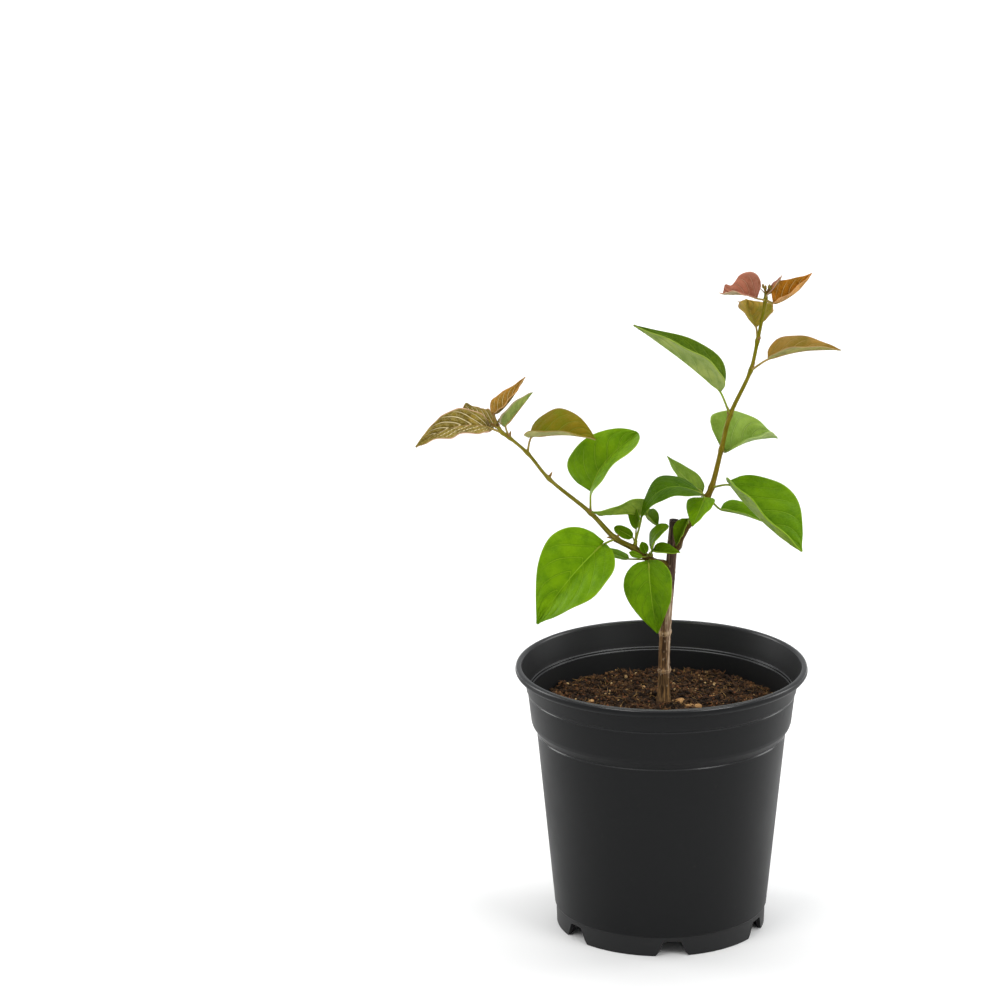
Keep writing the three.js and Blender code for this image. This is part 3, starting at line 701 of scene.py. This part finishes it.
# tufts of small leaves on a short spur; spur is its heading and rise
SPUR_TUFTS = {
    "left_spur_foliage_low": dict(on="left", node=1, spur=(-60, 75), leaves=[
        leaf("deep", (7.5, -79, 47), (15, 9.5), (-26, 57, 39), (8, 8), arch=3, peak=0.49,
             widest=0.48, lobe=0.06, blunt=1),
        leaf("deep", (9.5, -79, 40), (12.5, 9), (-14, -2, 21), (40, 37), lobe=0.02, blunt=0.3,
             hook=1),
        leaf("green", (6, -112, 44), (5.5, 4.5), (167, 69, -65), (25, 30), arch=-0.5, widest=0.55,
             lobe=0.03, blunt=0.8),
        leaf("green", (7.5, -116, 24), (7.5, 3), (-153, 25, -74), (15, 15), arch=-1, peak=0.54,
             widest=0.6, lobe=0, blunt=0.4),
        leaf("deep", (17.5, 74, 44), (12, 11), (-140, 43, -51), (41, 38), arch=-1, peak=0.52,
             widest=0.42, lobe=0.01, blunt=0.6, hook=1.5),
    ]),
    "left_spur_foliage_high": dict(on="left", node=2, spur=(0, 85), leaves=[
        leaf("green", (15.5, 59, 70), (26, 19), (-142, 4, 30), (26, 13), arch=1.5, peak=0.4,
             widest=0.2, lobe=0.11, hook=4),
        leaf("deep", (9, 9, 86), (10, 7), (108, 75, -43), (35, 38), arch=-1, widest=0.7,
             lobe=0.02, blunt=0.1),
        leaf("deep", (5.5, -130, 77), (9.5, 6), (163, 25, -58), (30, 35), peak=0.5, widest=0.39,
             lobe=0, blunt=1),
    ]),
    "right_spur_foliage": dict(on="right", node=2, spur=(180, 20), leaves=[
        leaf("grey", (4, 143, 28), (21.5, 11.5), (166, 44, -22), (19, 18), arch=-1.5),
        # this leaf takes the green that is darkened to paint the shade it lies in
        leaf("shaded_green", (9, -114, 25), (28, 18.5), (-167, -18, -16), (5, 3), arch=9, peak=0.54,
             widest=0.38, lobe=0, blunt=0.2, hook=-1),
        leaf("fresh", (8, -100, 9), (15.5, 14.5), (-115, -37, 2), (19, 5), widest=0.22),
    ]),
}

# the young leaves round the growing point, which come from the last node but one
TIP_TUFTS = {
    "left_tip_foliage": dict(on="left", node=8, leaves=[
        leaf("khaki", (7.5, -172, 22), (32, 14.5), (-167, -13, -20), (2, 42), arch=4.9, blunt=0.1,
             wrinkle=8, ragged=0.14, veins=6),
        leaf("khaki", (5, 148, 42), (15.5, 16), (174, 28, 5), (-38, 38), arch=-2,
             widest=(0.7, 0.37), lobe=0.01, blunt=0.5, hook=2, wrinkle=6, ragged=0.12),
        leaf("russet", (9, -179, 68), (21, 13), (25, 46, 5), (31, 35), arch=-1.5, peak=0.32,
             wrinkle=5, veins=6),
    ]),
    "right_tip_foliage": dict(on="right", node=8, leaves=[
        leaf("rose", (6, -133, 17), (17, 21), (147, -7, -19), (38, 46), arch=2, peak=0.38,
             widest=0.36, lobe=0.01, hook=2, cup=0.04, tail=3.8, wrinkle=2),
        leaf("copper", (5, -36, -8), (24, 16.5), (-30, 41, 48), (55, 51), arch=-2.5, widest=0.26,
             lobe=0.03, wrinkle=3),
        leaf("rose", (3, -57, 66), (13, 8.5), (-39, 51, 31), (17, 18), arch=-1, lobe=0.02),
    ]),
}


def half_width(t, widest, blunt):
    """Half width of a blade along its length; blunt goes from 0, a drawn-out tip, to 1, round."""
    if t < widest:
        bare = math.sqrt(1 - ((widest - t) / widest) ** 2)
    else:
        past = (t - widest) / (1 - widest)
        bare = (1 - min(1, past) ** (1.7 + 0.5 * blunt)) ** (1.15 - 0.6 * blunt)
    return 0.03 + 0.97 * bare


class Lay:
    """Where a leaf lies: the base of its blade, its midrib and the way its upper face looks."""

    def __init__(self, node, spec):
        length, turn, rise = spec["petiole"]
        self.base = node + heading(turn, rise) * length
        along = heading(*spec["turn"][:2])
        blade = spec["blade"][0]
        self.tip = self.base + along * blade
        level = (UP - along * along.z).normalized()
        roll = math.radians(spec["turn"][2])
        up = level * math.cos(roll) + along.cross(level) * math.sin(roll)
        self.bow = (self.base + along * blade * spec.get("peak", 0.45)
                    + up * 2 * spec.get("arch", 0))
        self.across = along.cross(up)
        self.hook = up * spec.get("hook", 0)

    def rib(self, t):
        """A point of the midrib: an arch whose last part is hooked towards the upper face."""
        arch = self.base * (1 - t) ** 2 + self.bow * 2 * t * (1 - t) + self.tip * t * t
        return arch + self.hook * max(0, (t - 0.6) / 0.4) ** 2

    def way(self, t):
        arch = 2 * ((self.bow - self.base) * (1 - t) + (self.tip - self.bow) * t)
        return (arch + self.hook * 5 * max(0, (t - 0.6) / 0.4)).normalized()

    def up(self, t):
        return self.across.cross(self.way(t)).normalized()


# On a blade q runs from -1 to 1 across, and t from 0 at its base to 1 at its tip.
def vein_count(q, t, drift, veins):
    """Runs up by one from each side vein to the next; the veins arch forwards to the margin."""
    s = abs(q)
    run = t - 0.3 * s - 0.2 * s**2.2 + 0.035 * noise.noise(Vector((2.2 * q, 3 * t, drift)))
    return run * veins + 0.45 * (1 if q > 0 else 0) * smoothstep(0, 0.12, s)


def vein_relief(q, t, count, wrinkle):
    """Height of the quilting between the side veins, from -1 on a vein to about 1 between."""
    off = abs(count % 1 - 0.5) * 2
    bulge = off**0.6 * 1.6 - 1
    fade = smoothstep(0, 0.14, abs(q)) * (1 - smoothstep(0.7, 1, abs(q))) * smoothstep(0, 0.12, t)
    rib = -0.9 * math.exp(-(q / 0.045) ** 2) * (1 - t)
    return wrinkle * (bulge * fade + rib)


def rounded_fold(s):
    """Rises from 0 at the midrib to 1 at the margin, but level at first."""
    return (math.sqrt(s * s + 0.0081) - 0.09) / (math.sqrt(1.0081) - 0.09)


def make_blade(name, lay, spec, looks, seed, replaces):
    """A leaf blade: a grid laid along its midrib, folded, lobed and waved, then given a wall."""
    length, width = spec["blade"]
    widest, lobe = spec.get("widest", 0.34), spec.get("lobe", 0.05)
    widest = widest if isinstance(widest, tuple) else (widest, widest)
    blunt, tail = spec.get("blunt", 0), spec.get("tail", 0)
    wrinkle, ragged = spec.get("wrinkle", 1.5), spec.get("ragged", 0)
    cup = spec.get("cup", 0.05)
    columns = 2 * min(26, max(6, round(width / 1.5)))
    rows = min(70, max(16, round(length / 0.75)))
    rng = random.Random(seed)
    phase = [rng.uniform(0, TURN) for _ in range(4)]
    offset = Vector([rng.uniform(0, 9) for _ in range(3)])
    bm = bmesh.new()
    blade = bm.verts.layers.float_vector.new("blade")
    lamina = bm.verts.layers.float_vector.new("lamina")
    bmesh.ops.create_grid(bm, x_segments=columns, y_segments=rows, size=1)
    for v in bm.verts:
        q, t = v.co.x, 1 - ((1 - v.co.y) / 2) ** 1.25
        s, wing = abs(q), 1 if q > 0 else 0
        back = t - lobe * s**1.5 * (1 - t) ** 3
        on = max(0.0, back)
        way, up = lay.way(on), lay.up(on)
        rise = math.radians(spec["fold"][wing])
        out = way.cross(up) * (1 if wing else -1)
        half = width / 2 * half_width(t, widest[wing], blunt) + tail * smoothstep(0.8, 1, t)
        fray = noise.noise(Vector((t * 7, 3 if wing else 8, offset.z)))
        reach = half * s * (1 + ragged * s * fray * smoothstep(0, 0.15, t))
        soft = rounded_fold(s) / max(s, 1e-6)
        face = up * math.cos(rise) - out * math.sin(rise)
        wave = 0.014 * width * s**3 * math.sin(TURN * (2.3 if wing else 2.7) * t + phase[1 - wing])
        wave *= smoothstep(0, 0.2, t) * (1 - smoothstep(0.85, 1, t)) * (0.6 + 0.4 * wrinkle)
        sag = 0.012 * width * noise.noise(Vector((q * 1.6, t * 2.4, 0)) + offset) * s
        count = vein_count(q, t, offset.z, spec.get("veins", 5))
        lift = 0.0055 * width * vein_relief(q, t, count, wrinkle)
        bulge = cup * reach / max(s, 1e-6) * math.sin(math.pi * s) * smoothstep(0, 0.2, s)
        point = (lay.rib(on) + way * min(0.0, back) * length + out * reach * math.cos(rise)
                 + up * reach * math.sin(rise) * soft + face * (wave + sag + lift + bulge))
        v[blade] = (q, t, count)
        v[lamina] = (math.copysign(reach, q) * MM, t * length * MM, offset.x * 0.01)
        v.co = point * MM
    piece = add_piece(name, bm, looks, replaces)
    wall = piece.modifiers.new("thickness", "SOLIDIFY")
    wall.thickness = max(0.3, length / 100) * MM
    wall.offset = 0
    wall.material_offset = wall.material_offset_rim = 1


def add_stalk(bm, root, lay, spec):
    """The leaf stalk, which runs on under the blade as its midrib."""
    thick = 0.52 * (0.55 + 0.45 * min(1.0, spec["blade"][0] / 22))
    nodes = [root, lay.base]
    for t in (0.12, 0.3, 0.55, 0.86):
        nodes.append(lay.rib(t) - lay.up(t) * (0.6 * (thick * (0.8 - 0.6 * t)) + 0.1))
    points, length = course(nodes, 40)
    stalk = (lay.base - root).length

    def radius(share, angle, _):
        run = share * length
        if run < stalk:
            part = run / stalk
            return thick * (1.0 + 0.35 * hill(run - 0.6, 1) - 0.12 * part)
        part = (run - stalk) / (length - stalk)
        return max(0.07, thick * (0.88 - 0.75 * part))

    roll_limb(bm, points, length, radius, 12)


def make_leaf(name, node, root, spec, kinds, stalks, seed, replaces=None):
    """A blade laid out from its node, and its stalk, which starts at the root, among the stalks."""
    lay = Lay(node, spec)
    make_blade(name, lay, spec, kinds[spec["kind"]], seed, replaces)
    add_stalk(stalks, root, lay, spec)


def add_spur(stalks, tuft, node, stem):
    """The knob of scales that a tuft grows from. Gives the place where its stalks start."""
    out = heading(*tuft["spur"])
    root = node + out * (stem_radius(stem, 0.3, node) + 1)
    rng = random.Random(tuft["node"])
    for k in range(7):
        way = (out + heading(k * 51, 10) * 0.8).normalized()
        add_bud(stalks, root - way * 0.9, way, rng.uniform(1.9, 2.6), rng.uniform(0.55, 0.8))
    return root


def make_foliage(kinds, green_stalk, blush_stalk):
    seed = 100
    for name, spec in SINGLE_LEAVES.items():
        seed += 1
        node = STEMS[spec["on"]]["nodes"][spec["node"]]
        stalks = bmesh.new()
        make_leaf(f"{name}_blade", node, node, spec, kinds, stalks, seed, replaces=name)
        look = blush_stalk if spec["kind"] in YOUNG_KINDS else green_stalk
        add_limbs(f"{name}_stalk", stalks, look)
    for name, tuft in {**SPUR_TUFTS, **TIP_TUFTS}.items():
        stem = STEMS[tuft["on"]]
        node = stem["nodes"][tuft["node"]]
        stalks = bmesh.new()
        root = add_spur(stalks, tuft, node, stem) if "spur" in tuft else node
        for k, spec in enumerate(tuft["leaves"]):
            seed += 1
            make_leaf(f"{name}_blade_{k + 1}", node, root, spec, kinds, stalks, seed,
                      replaces=name if k == 0 else None)
        look = blush_stalk if name in TIP_TUFTS else green_stalk
        add_limbs(f"{name}_stalks", stalks, look)


def make_tip_buds(side, look):
    """The folded young leaves on thin stalks round the growing point of a shoot."""
    start = STEMS[side]["nodes"][-1] - UP * 1.5
    bm = bmesh.new()
    rng = random.Random(21)
    for k in range(9):
        way = (heading(k * 80 + rng.uniform(-20, 20), rng.uniform(25, 60)) + UP * 0.2).normalized()
        reach = rng.uniform(2.4, 4.4)
        add_bud(bm, start, way, reach, 0.26, 0.6, 8)
        upwards = (way + UP * rng.uniform(0, 1)).normalized()
        add_bud(bm, start + way * reach * 0.8 + UP * 0.4, upwards,
                rng.uniform(1.4, 2.4), rng.uniform(0.38, 0.6), 0.2, 8)
    add_limbs(f"{side}_tip_buds", bm, look)


# ---- pot -----------------------------------------------------------------------------------
# radius, height, and how far the corner is rounded
POT_OUTSIDE = [
    (0, 0, 0), (20, 0, 0.8), (23.4, 7.6, 0.8), (44.2, 7.6, 0.3), (44.8, 0, 0.3), (46.6, 0, 0.4),
    (46.9, 8.8, 0.15), (47.5, 9.6, 0.2), (55.4, 90, 0.1), (55.1, 90.6, 0.1), (55.45, 91.3, 0.12),
    (57.4, 94, 0.4), (57.9, 95.6, 0.4), (59.4, 108.4, 0.1), (59.2, 108.9, 0.1), (59.95, 109.7, 0.2),
    (60.15, 110.9, 0.2), (61.3, 116.6, 0.25), (64.2, 117.5, 0.4), (65, 118.6, 0.5),
    (64.7, 120.4, 0.6), (63.7, 121, 0.4), (62.5, 120.9, 0.35), (61.9, 120.1, 0.3),
    (59.6, 112, 0.5), (59, 109.6, 0.12), (58.5, 109.3, 0.2), (58.4, 108.6, 0.12),
    (57.9, 108.3, 0.2),
]
POT_INSIDE = [
    (57.1, 100, 0.8), (56.2, 92.4, 0.8), (53.2, 87.4, 1), (52.1, 78, 1),
    (46.1, 12, 1), (45, 9.1, 0.6), (21.9, 9.1, 0.8), (18.8, 1.5, 0.8), (0, 1.5, 0),
]


def rounded(profile, steps=4):
    """The points of the profile with each corner replaced by a short arc."""
    spots = [Vector((r, z)) for r, z, _ in profile]
    made = [spots[0]]
    for a, b, c, (_, _, size) in zip(spots, spots[1:], spots[2:], profile[1:-1]):
        first = b + (a - b) * min(0.45, size / (a - b).length)
        last = b + (c - b) * min(0.45, size / (c - b).length)
        for i in range(steps + 1):
            s = i / steps
            made.append(first.lerp(b, s).lerp(b.lerp(last, s), s))
    return [*made, spots[-1]]


def turned(points, steps):
    """A closed body turned from a profile that starts and ends on the axis."""
    bm = bmesh.new()
    verts = [bm.verts.new((p.x * MM, 0, p.y * MM)) for p in points]
    edges = [bm.edges.new(pair) for pair in zip(verts, verts[1:])]
    bmesh.ops.spin(bm, geom=verts + edges, cent=(0, 0, 0), axis=(0, 0, 1), angle=TURN,
                   steps=steps, use_merge=True)
    bmesh.ops.remove_doubles(bm, verts=bm.verts, dist=1e-6)
    bmesh.ops.recalc_face_normals(bm, faces=bm.faces)
    return bm


def pot_zone(face):
    """Which finish a face of the pot takes: 0 matt, 1 smooth, 2 satin."""
    middle = face.calc_center_median() / MM
    inward = face.normal.xy.dot(middle.xy) < 0
    ring = inward and 107.8 < middle.z < 110
    edge = not inward and face.normal.z > 0.15 and 80 < middle.z < 110
    lip = middle.z > 120.2
    if ring or edge or lip:
        return 1
    foot = middle.z < 9
    return 2 if foot or inward and middle.z > 96 else 0


# half of a notch through the foot: half width and height, from the ground up
NOTCH_SIDE = [(9.5, -1), (7.2, 0.3), (6, 1.8), (3.7, 7)]
NOTCH_COUNT = 6
FIRST_NOTCH = -83.5


def notch_cutters():
    """Wedges, narrow at the top and flared where they reach the ground, round the foot."""
    cutters = bmesh.new()
    outline = [(-y, z) for y, z in NOTCH_SIDE] + NOTCH_SIDE[::-1]
    face = cutters.faces.new([cutters.verts.new(Vector((38, y, z)) * MM) for y, z in outline])
    made = bmesh.ops.extrude_face_region(cutters, geom=[face])["geom"]
    bmesh.ops.translate(cutters, verts=[g for g in made if isinstance(g, bmesh.types.BMVert)],
                        vec=(12 * MM, 0, 0))
    bmesh.ops.recalc_face_normals(cutters, faces=cutters.faces)
    top = [e for e in cutters.edges
           if all(v.co.z > 6 * MM for v in e.verts) and abs(e.verts[0].co.x - e.verts[1].co.x) > MM]
    bmesh.ops.bevel(cutters, geom=top, offset=0.9 * MM, segments=4, profile=0.5, affect="EDGES",
                    material=-1)
    bmesh.ops.rotate(cutters, verts=cutters.verts,
                     matrix=Matrix.Rotation(math.radians(FIRST_NOTCH), 3, "Z"))
    steps = NOTCH_COUNT - 1
    bmesh.ops.spin(cutters, geom=[*cutters.verts, *cutters.edges, *cutters.faces], cent=(0, 0, 0),
                   axis=(0, 0, 1), angle=math.radians(360 / NOTCH_COUNT * steps), steps=steps,
                   use_duplicate=True)
    return cutters


def make_pot(looks):
    """looks: the matt wall, the smoother lip, ring and edges, and the satin foot and inside."""
    body = turned(rounded(POT_OUTSIDE + POT_INSIDE), 160)
    for face in body.faces:
        face.material_index = pot_zone(face)
    pot = add_mesh("nursery_pot", mesh_of("nursery_pot", body), looks,
                   replaces="pot")
    cutter = bpy.data.objects.new("notches", mesh_of("notches", notch_cutters()))
    scene.collection.objects.link(cutter)
    cut = pot.modifiers.new("notches", "BOOLEAN")
    cut.object, cut.operation, cut.solver = cutter, "DIFFERENCE", "EXACT"
    done = bpy.data.meshes.new_from_object(pot.evaluated_get(bpy.context.evaluated_depsgraph_get()))
    pot.modifiers.clear()
    pot.data = done
    bpy.data.objects.remove(cutter)
    done.shade_smooth()
    done.set_sharp_from_angle(angle=math.radians(38))


# ---- soil ----------------------------------------------------------------------------------
# radius and height of the plug, up its side
SOIL_SIDE = [(0, 1.8), (18.5, 1.8), (21.6, 9.4), (44.7, 9.4), (45.8, 12.3), (51.8, 78),
             (52.9, 87.4), (55.9, 92.4), (56.8, 99)]


def soil_height(x, y):
    """Top of the potting soil, with its lumps and the hollow at the foot of the trunk."""
    radius = math.hypot(x, y)
    share = max(0.0, (radius - 9) / 48)
    height = lerp(102.7, 100, share**1.5)
    height += 0.7 * math.sin(0.31 * x + 1) * math.cos(0.27 * y) + 0.4 * math.sin(0.5 * y - 0.4 * x)
    height += 1.5 * abs(noise.noise(Vector((x, y, 4)) * 0.24)) - 0.4
    height += lumps(x, y, (0.9, 0, 0.16), (0.55, 9, 0.42))
    near = math.hypot(x - TRUNK_FOOT[0], y - TRUNK_FOOT[1])
    height += 0.7 * hill(near - 8.5, 2.5) - 1.3 * hill(near - 4.2, 2.2)
    return height - 1.2 * smoothstep(52, 56.8, radius)


def make_soil(look):
    rings = [Vector((r, 100)) for r in np.linspace(56.8, 0, 88)]
    bm = turned([Vector(p) for p in SOIL_SIDE] + rings, 200)
    for v in bm.verts:
        x, y, z = v.co / MM
        if z > 99.5:
            rough = lumps(x, y, (0.35, 3, 1.1), (0.2, 5, 2.3))
            v.co.z = (soil_height(x, y) + rough * smoothstep(56.8, 55, math.hypot(x, y)) - 0.3) * MM
    add_piece("soil_bed", bm, [look], replaces="potting_soil")


def crumb_shapes(rng, count=7):
    """Angular crumbs of twenty faces."""
    shapes = []
    for _ in range(count):
        bm = bmesh.new()
        bmesh.ops.create_icosphere(bm, subdivisions=1, radius=0.5)
        for v in bm.verts:
            v.co *= rng.uniform(0.62, 1.15)
        shapes.append(bm)
    return shapes


def fibre_shapes(rng, count=8):
    """Bent shreds of fibre, one unit long, thinner at their ends."""
    def thickness(share, *_):
        return 42 * (0.35 + math.sin(math.pi * share))

    shapes = []
    for _ in range(count):
        bm = bmesh.new()
        middle = Vector((0, rng.uniform(-0.12, 0.12), rng.uniform(0, 0.12))) * 1000
        points, length = course([(-500, 0, 0), middle, (500, rng.uniform(-60, 60), 0)], 4)
        roll_limb(bm, points, length, thickness, 5)
        bmesh.ops.recalc_face_normals(bm, faces=bm.faces)
        shapes.append(bm)
    return shapes


def scatter(name, shapes, places, look):
    """Joins a copy of a shape at each place into one piece."""
    templates = []
    for bm in shapes:
        bm.verts.index_update()
        templates.append((np.array([v.co[:] for v in bm.verts]),
                          [tuple(v.index for v in f.verts) for f in bm.faces]))
        bm.free()
    points, faces, total = [], [], 0
    for k, place in enumerate(places):
        spots, sides = templates[k % len(templates)]
        turn = np.array(place.to_3x3())
        points.append(spots @ turn.T + np.array(place.translation))
        faces += [tuple(i + total for i in side) for side in sides]
        total += len(spots)
    mesh = bpy.data.meshes.new(name)
    mesh.from_pydata(np.concatenate(points).tolist(), [], faces)
    mesh.update()
    add_mesh(name, mesh, [look])


def soil_spot(rng, inner, outer):
    """A random place on the soil, clear of the trunk and the wall."""
    while True:
        radius = outer * math.sqrt(rng.random())
        angle = rng.uniform(0, TURN)
        x, y = radius * math.cos(angle), radius * math.sin(angle)
        if math.hypot(x - TRUNK_FOOT[0], y - TRUNK_FOOT[1]) > inner:
            return x, y


def lying(x, y, lift, size, turn, tilt, spin=0.0):
    """The place of a thing that lies on the soil, with its turns in radians."""
    place = Matrix.Translation(Vector((x, y, soil_height(x, y) + lift)) * MM)
    place @= Matrix.Rotation(turn, 4, "Z") @ Matrix.Rotation(tilt, 4, "Y")
    place @= Matrix.Rotation(spin, 4, "X")
    return place @ Matrix.Diagonal((*(Vector(size) * MM), 1))


def make_crumbs(looks):
    rng = random.Random(3)

    def crumbs(count, low, high, lift=0.1, flat=0.75, outer=56.0):
        made = []
        for _ in range(count):
            x, y = soil_spot(rng, 3.4, outer)
            size = lerp(low, high, rng.random() ** 2.2)
            made.append(lying(x, y, lift * size, (size, size * rng.uniform(0.6, 1), size * flat),
                              rng.uniform(0, 6.3), rng.uniform(-0.6, 0.6), rng.uniform(0, 6.3)))
        return made

    def shreds(count, low, high, thick, tilt=0.35):
        made = []
        for _ in range(count):
            x, y = soil_spot(rng, 4.0, 54.5)
            size = lerp(low, high, rng.random() ** 1.8)
            form = (size, thick * rng.uniform(6, 14), thick * rng.uniform(5, 10))
            made.append(lying(x, y, 0.35, form, rng.uniform(0, 6.3), rng.gauss(0, tilt)))
        return made

    for name, look, shapes, places, sizes in (
            ("soil_crumbs_dark", "dark", crumb_shapes, crumbs, (4600, 0.7, 3.2)),
            ("soil_crumbs_brown", "brown", crumb_shapes, crumbs, (2600, 0.6, 2.6, 0.25)),
            ("soil_crumbs_red", "red", crumb_shapes, crumbs, (900, 0.5, 2.0, 0.3)),
            ("soil_fibres_brown", "brown", fibre_shapes, shreds, (1300, 2.0, 8.5, 0.36)),
            ("soil_fibres_ochre", "ochre", fibre_shapes, shreds, (800, 1.5, 7.0, 0.26, 0.5)),
            ("soil_chips_tan", "tan", crumb_shapes, crumbs, (170, 0.7, 2.0, 0.5, 0.5, 54))):
        scatter(name, shapes(rng), places(*sizes), looks[look])
    make_stones(looks["stone"], rng)


# place, size and turn of each stone
STONES = [((8.3, 1.5), (4.4, 3.8, 3.4), 0.2), ((13, -3.4), (5.8, 2.4, 1.8), -0.25),
          ((16.5, -7), (3.4, 2.8, 2.2), 0.5), ((-31, 3), (2.6, 2, 1.6), 1.1),
          ((23, 12), (2.2, 1.8, 1.4), 0.3), ((-8, 23), (2.4, 1.6, 1.3), 2.0)]


def make_stones(look, rng):
    """The few larger chips and pebbles that lie on the soil near the trunk."""
    bm = bmesh.new()
    for (x, y), size, turn in STONES:
        made = bmesh.ops.create_icosphere(bm, subdivisions=3, radius=0.5)["verts"]
        place = lying(x, y, size[2] * 0.28, size, turn, rng.uniform(-0.15, 0.15))
        shift = Vector((x, y, size[0]))
        for v in made:
            coarse, fine = (noise.noise(v.co * scale + shift) for scale in (2.6, 7))
            v.co = place @ (v.co * (1 + 0.22 * coarse + 0.08 * fine))
    add_piece("soil_stones", bm, [look])


# ---- pot and plant -------------------------------------------------------------------------
set_up_camera(eye=(0, -2.0686, 0.8088), target=(-0.0713, 0, 0.1964), tilt=-0.34, lens=176.5)
set_up_studio()

make_pot([pot_plastic("matt_charcoal_plastic", gloss=0.14, rough=0.44),
          pot_plastic("smooth_charcoal_plastic", gloss=0.5, rough=0.22),
          pot_plastic("satin_charcoal_plastic", gloss=0.3, rough=0.5)])

make_soil(soil_finish("peat_bed", (0.006, 0.003, 0.0015), (0.05, 0.024, 0.009),
                      (0.16, 0.085, 0.03)))
make_crumbs({
    "dark": soil_finish("peat_crumb_dark", (0.008, 0.004, 0.002), (0.062, 0.03, 0.012),
                        (0.18, 0.1, 0.038)),
    "brown": soil_finish("peat_crumb_brown", (0.034, 0.014, 0.006), (0.18, 0.085, 0.03),
                         (0.34, 0.2, 0.075)),
    "red": soil_finish("bark_crumb_red", (0.09, 0.032, 0.012), (0.22, 0.085, 0.03),
                       (0.36, 0.18, 0.07)),
    "ochre": soil_finish("straw_fibre_ochre", (0.15, 0.082, 0.024), (0.4, 0.24, 0.085),
                         (0.6, 0.42, 0.18), 0.8),
    "tan": soil_finish("wood_chip_tan", (0.3, 0.17, 0.065), (0.6, 0.42, 0.2),
                       (0.8, 0.64, 0.4), 0.8),
    "stone": soil_finish("clay_stone_tan", (0.34, 0.16, 0.05), (0.66, 0.4, 0.17),
                         (0.85, 0.6, 0.3), 0.7),
})

make_trunk(bark_finish())
left_look = shoot_finish("left_green_wood", (0.07, 0.04, 0.006), (0.11, 0.1, 0.005),
                         (0.22, 0.19, 0.02), (0.26, 0.2, 0.05), 108)
right_look = shoot_finish("right_green_wood", (0.05, 0.022, 0.013), (0.15, 0.105, 0.006),
                          (0.15, 0.15, 0.004), (0.26, 0.18, 0.03), 120)
make_shoot("left", left_look)
make_shoot("right", right_look)
bud_look = shoot_finish("bud_scale", (0.17, 0.1, 0.03), (0.26, 0.14, 0.04), (0.36, 0.24, 0.08),
                        (0.42, 0.3, 0.12), 6)
make_buds("left", bud_look)
make_buds("right", bud_look)

green_stalk = shoot_finish("green_leaf_stalk", (0.2, 0.2, 0.02), (0.2, 0.3, 0.015),
                           (0.28, 0.42, 0.05), (0.34, 0.4, 0.08), 40)
blush_stalk = shoot_finish("blush_leaf_stalk", (0.28, 0.24, 0.045), (0.42, 0.28, 0.09),
                           (0.46, 0.3, 0.14), (0.5, 0.28, 0.16), 40)
make_foliage(kind_materials(), green_stalk, blush_stalk)
tip_look = shoot_finish("tip_bud_brown", (0.24, 0.23, 0.03), (0.26, 0.14, 0.03), (0.3, 0.12, 0.05),
                        (0.4, 0.36, 0.1), 5)
make_tip_buds("left", tip_look)
make_tip_buds("right", tip_look)
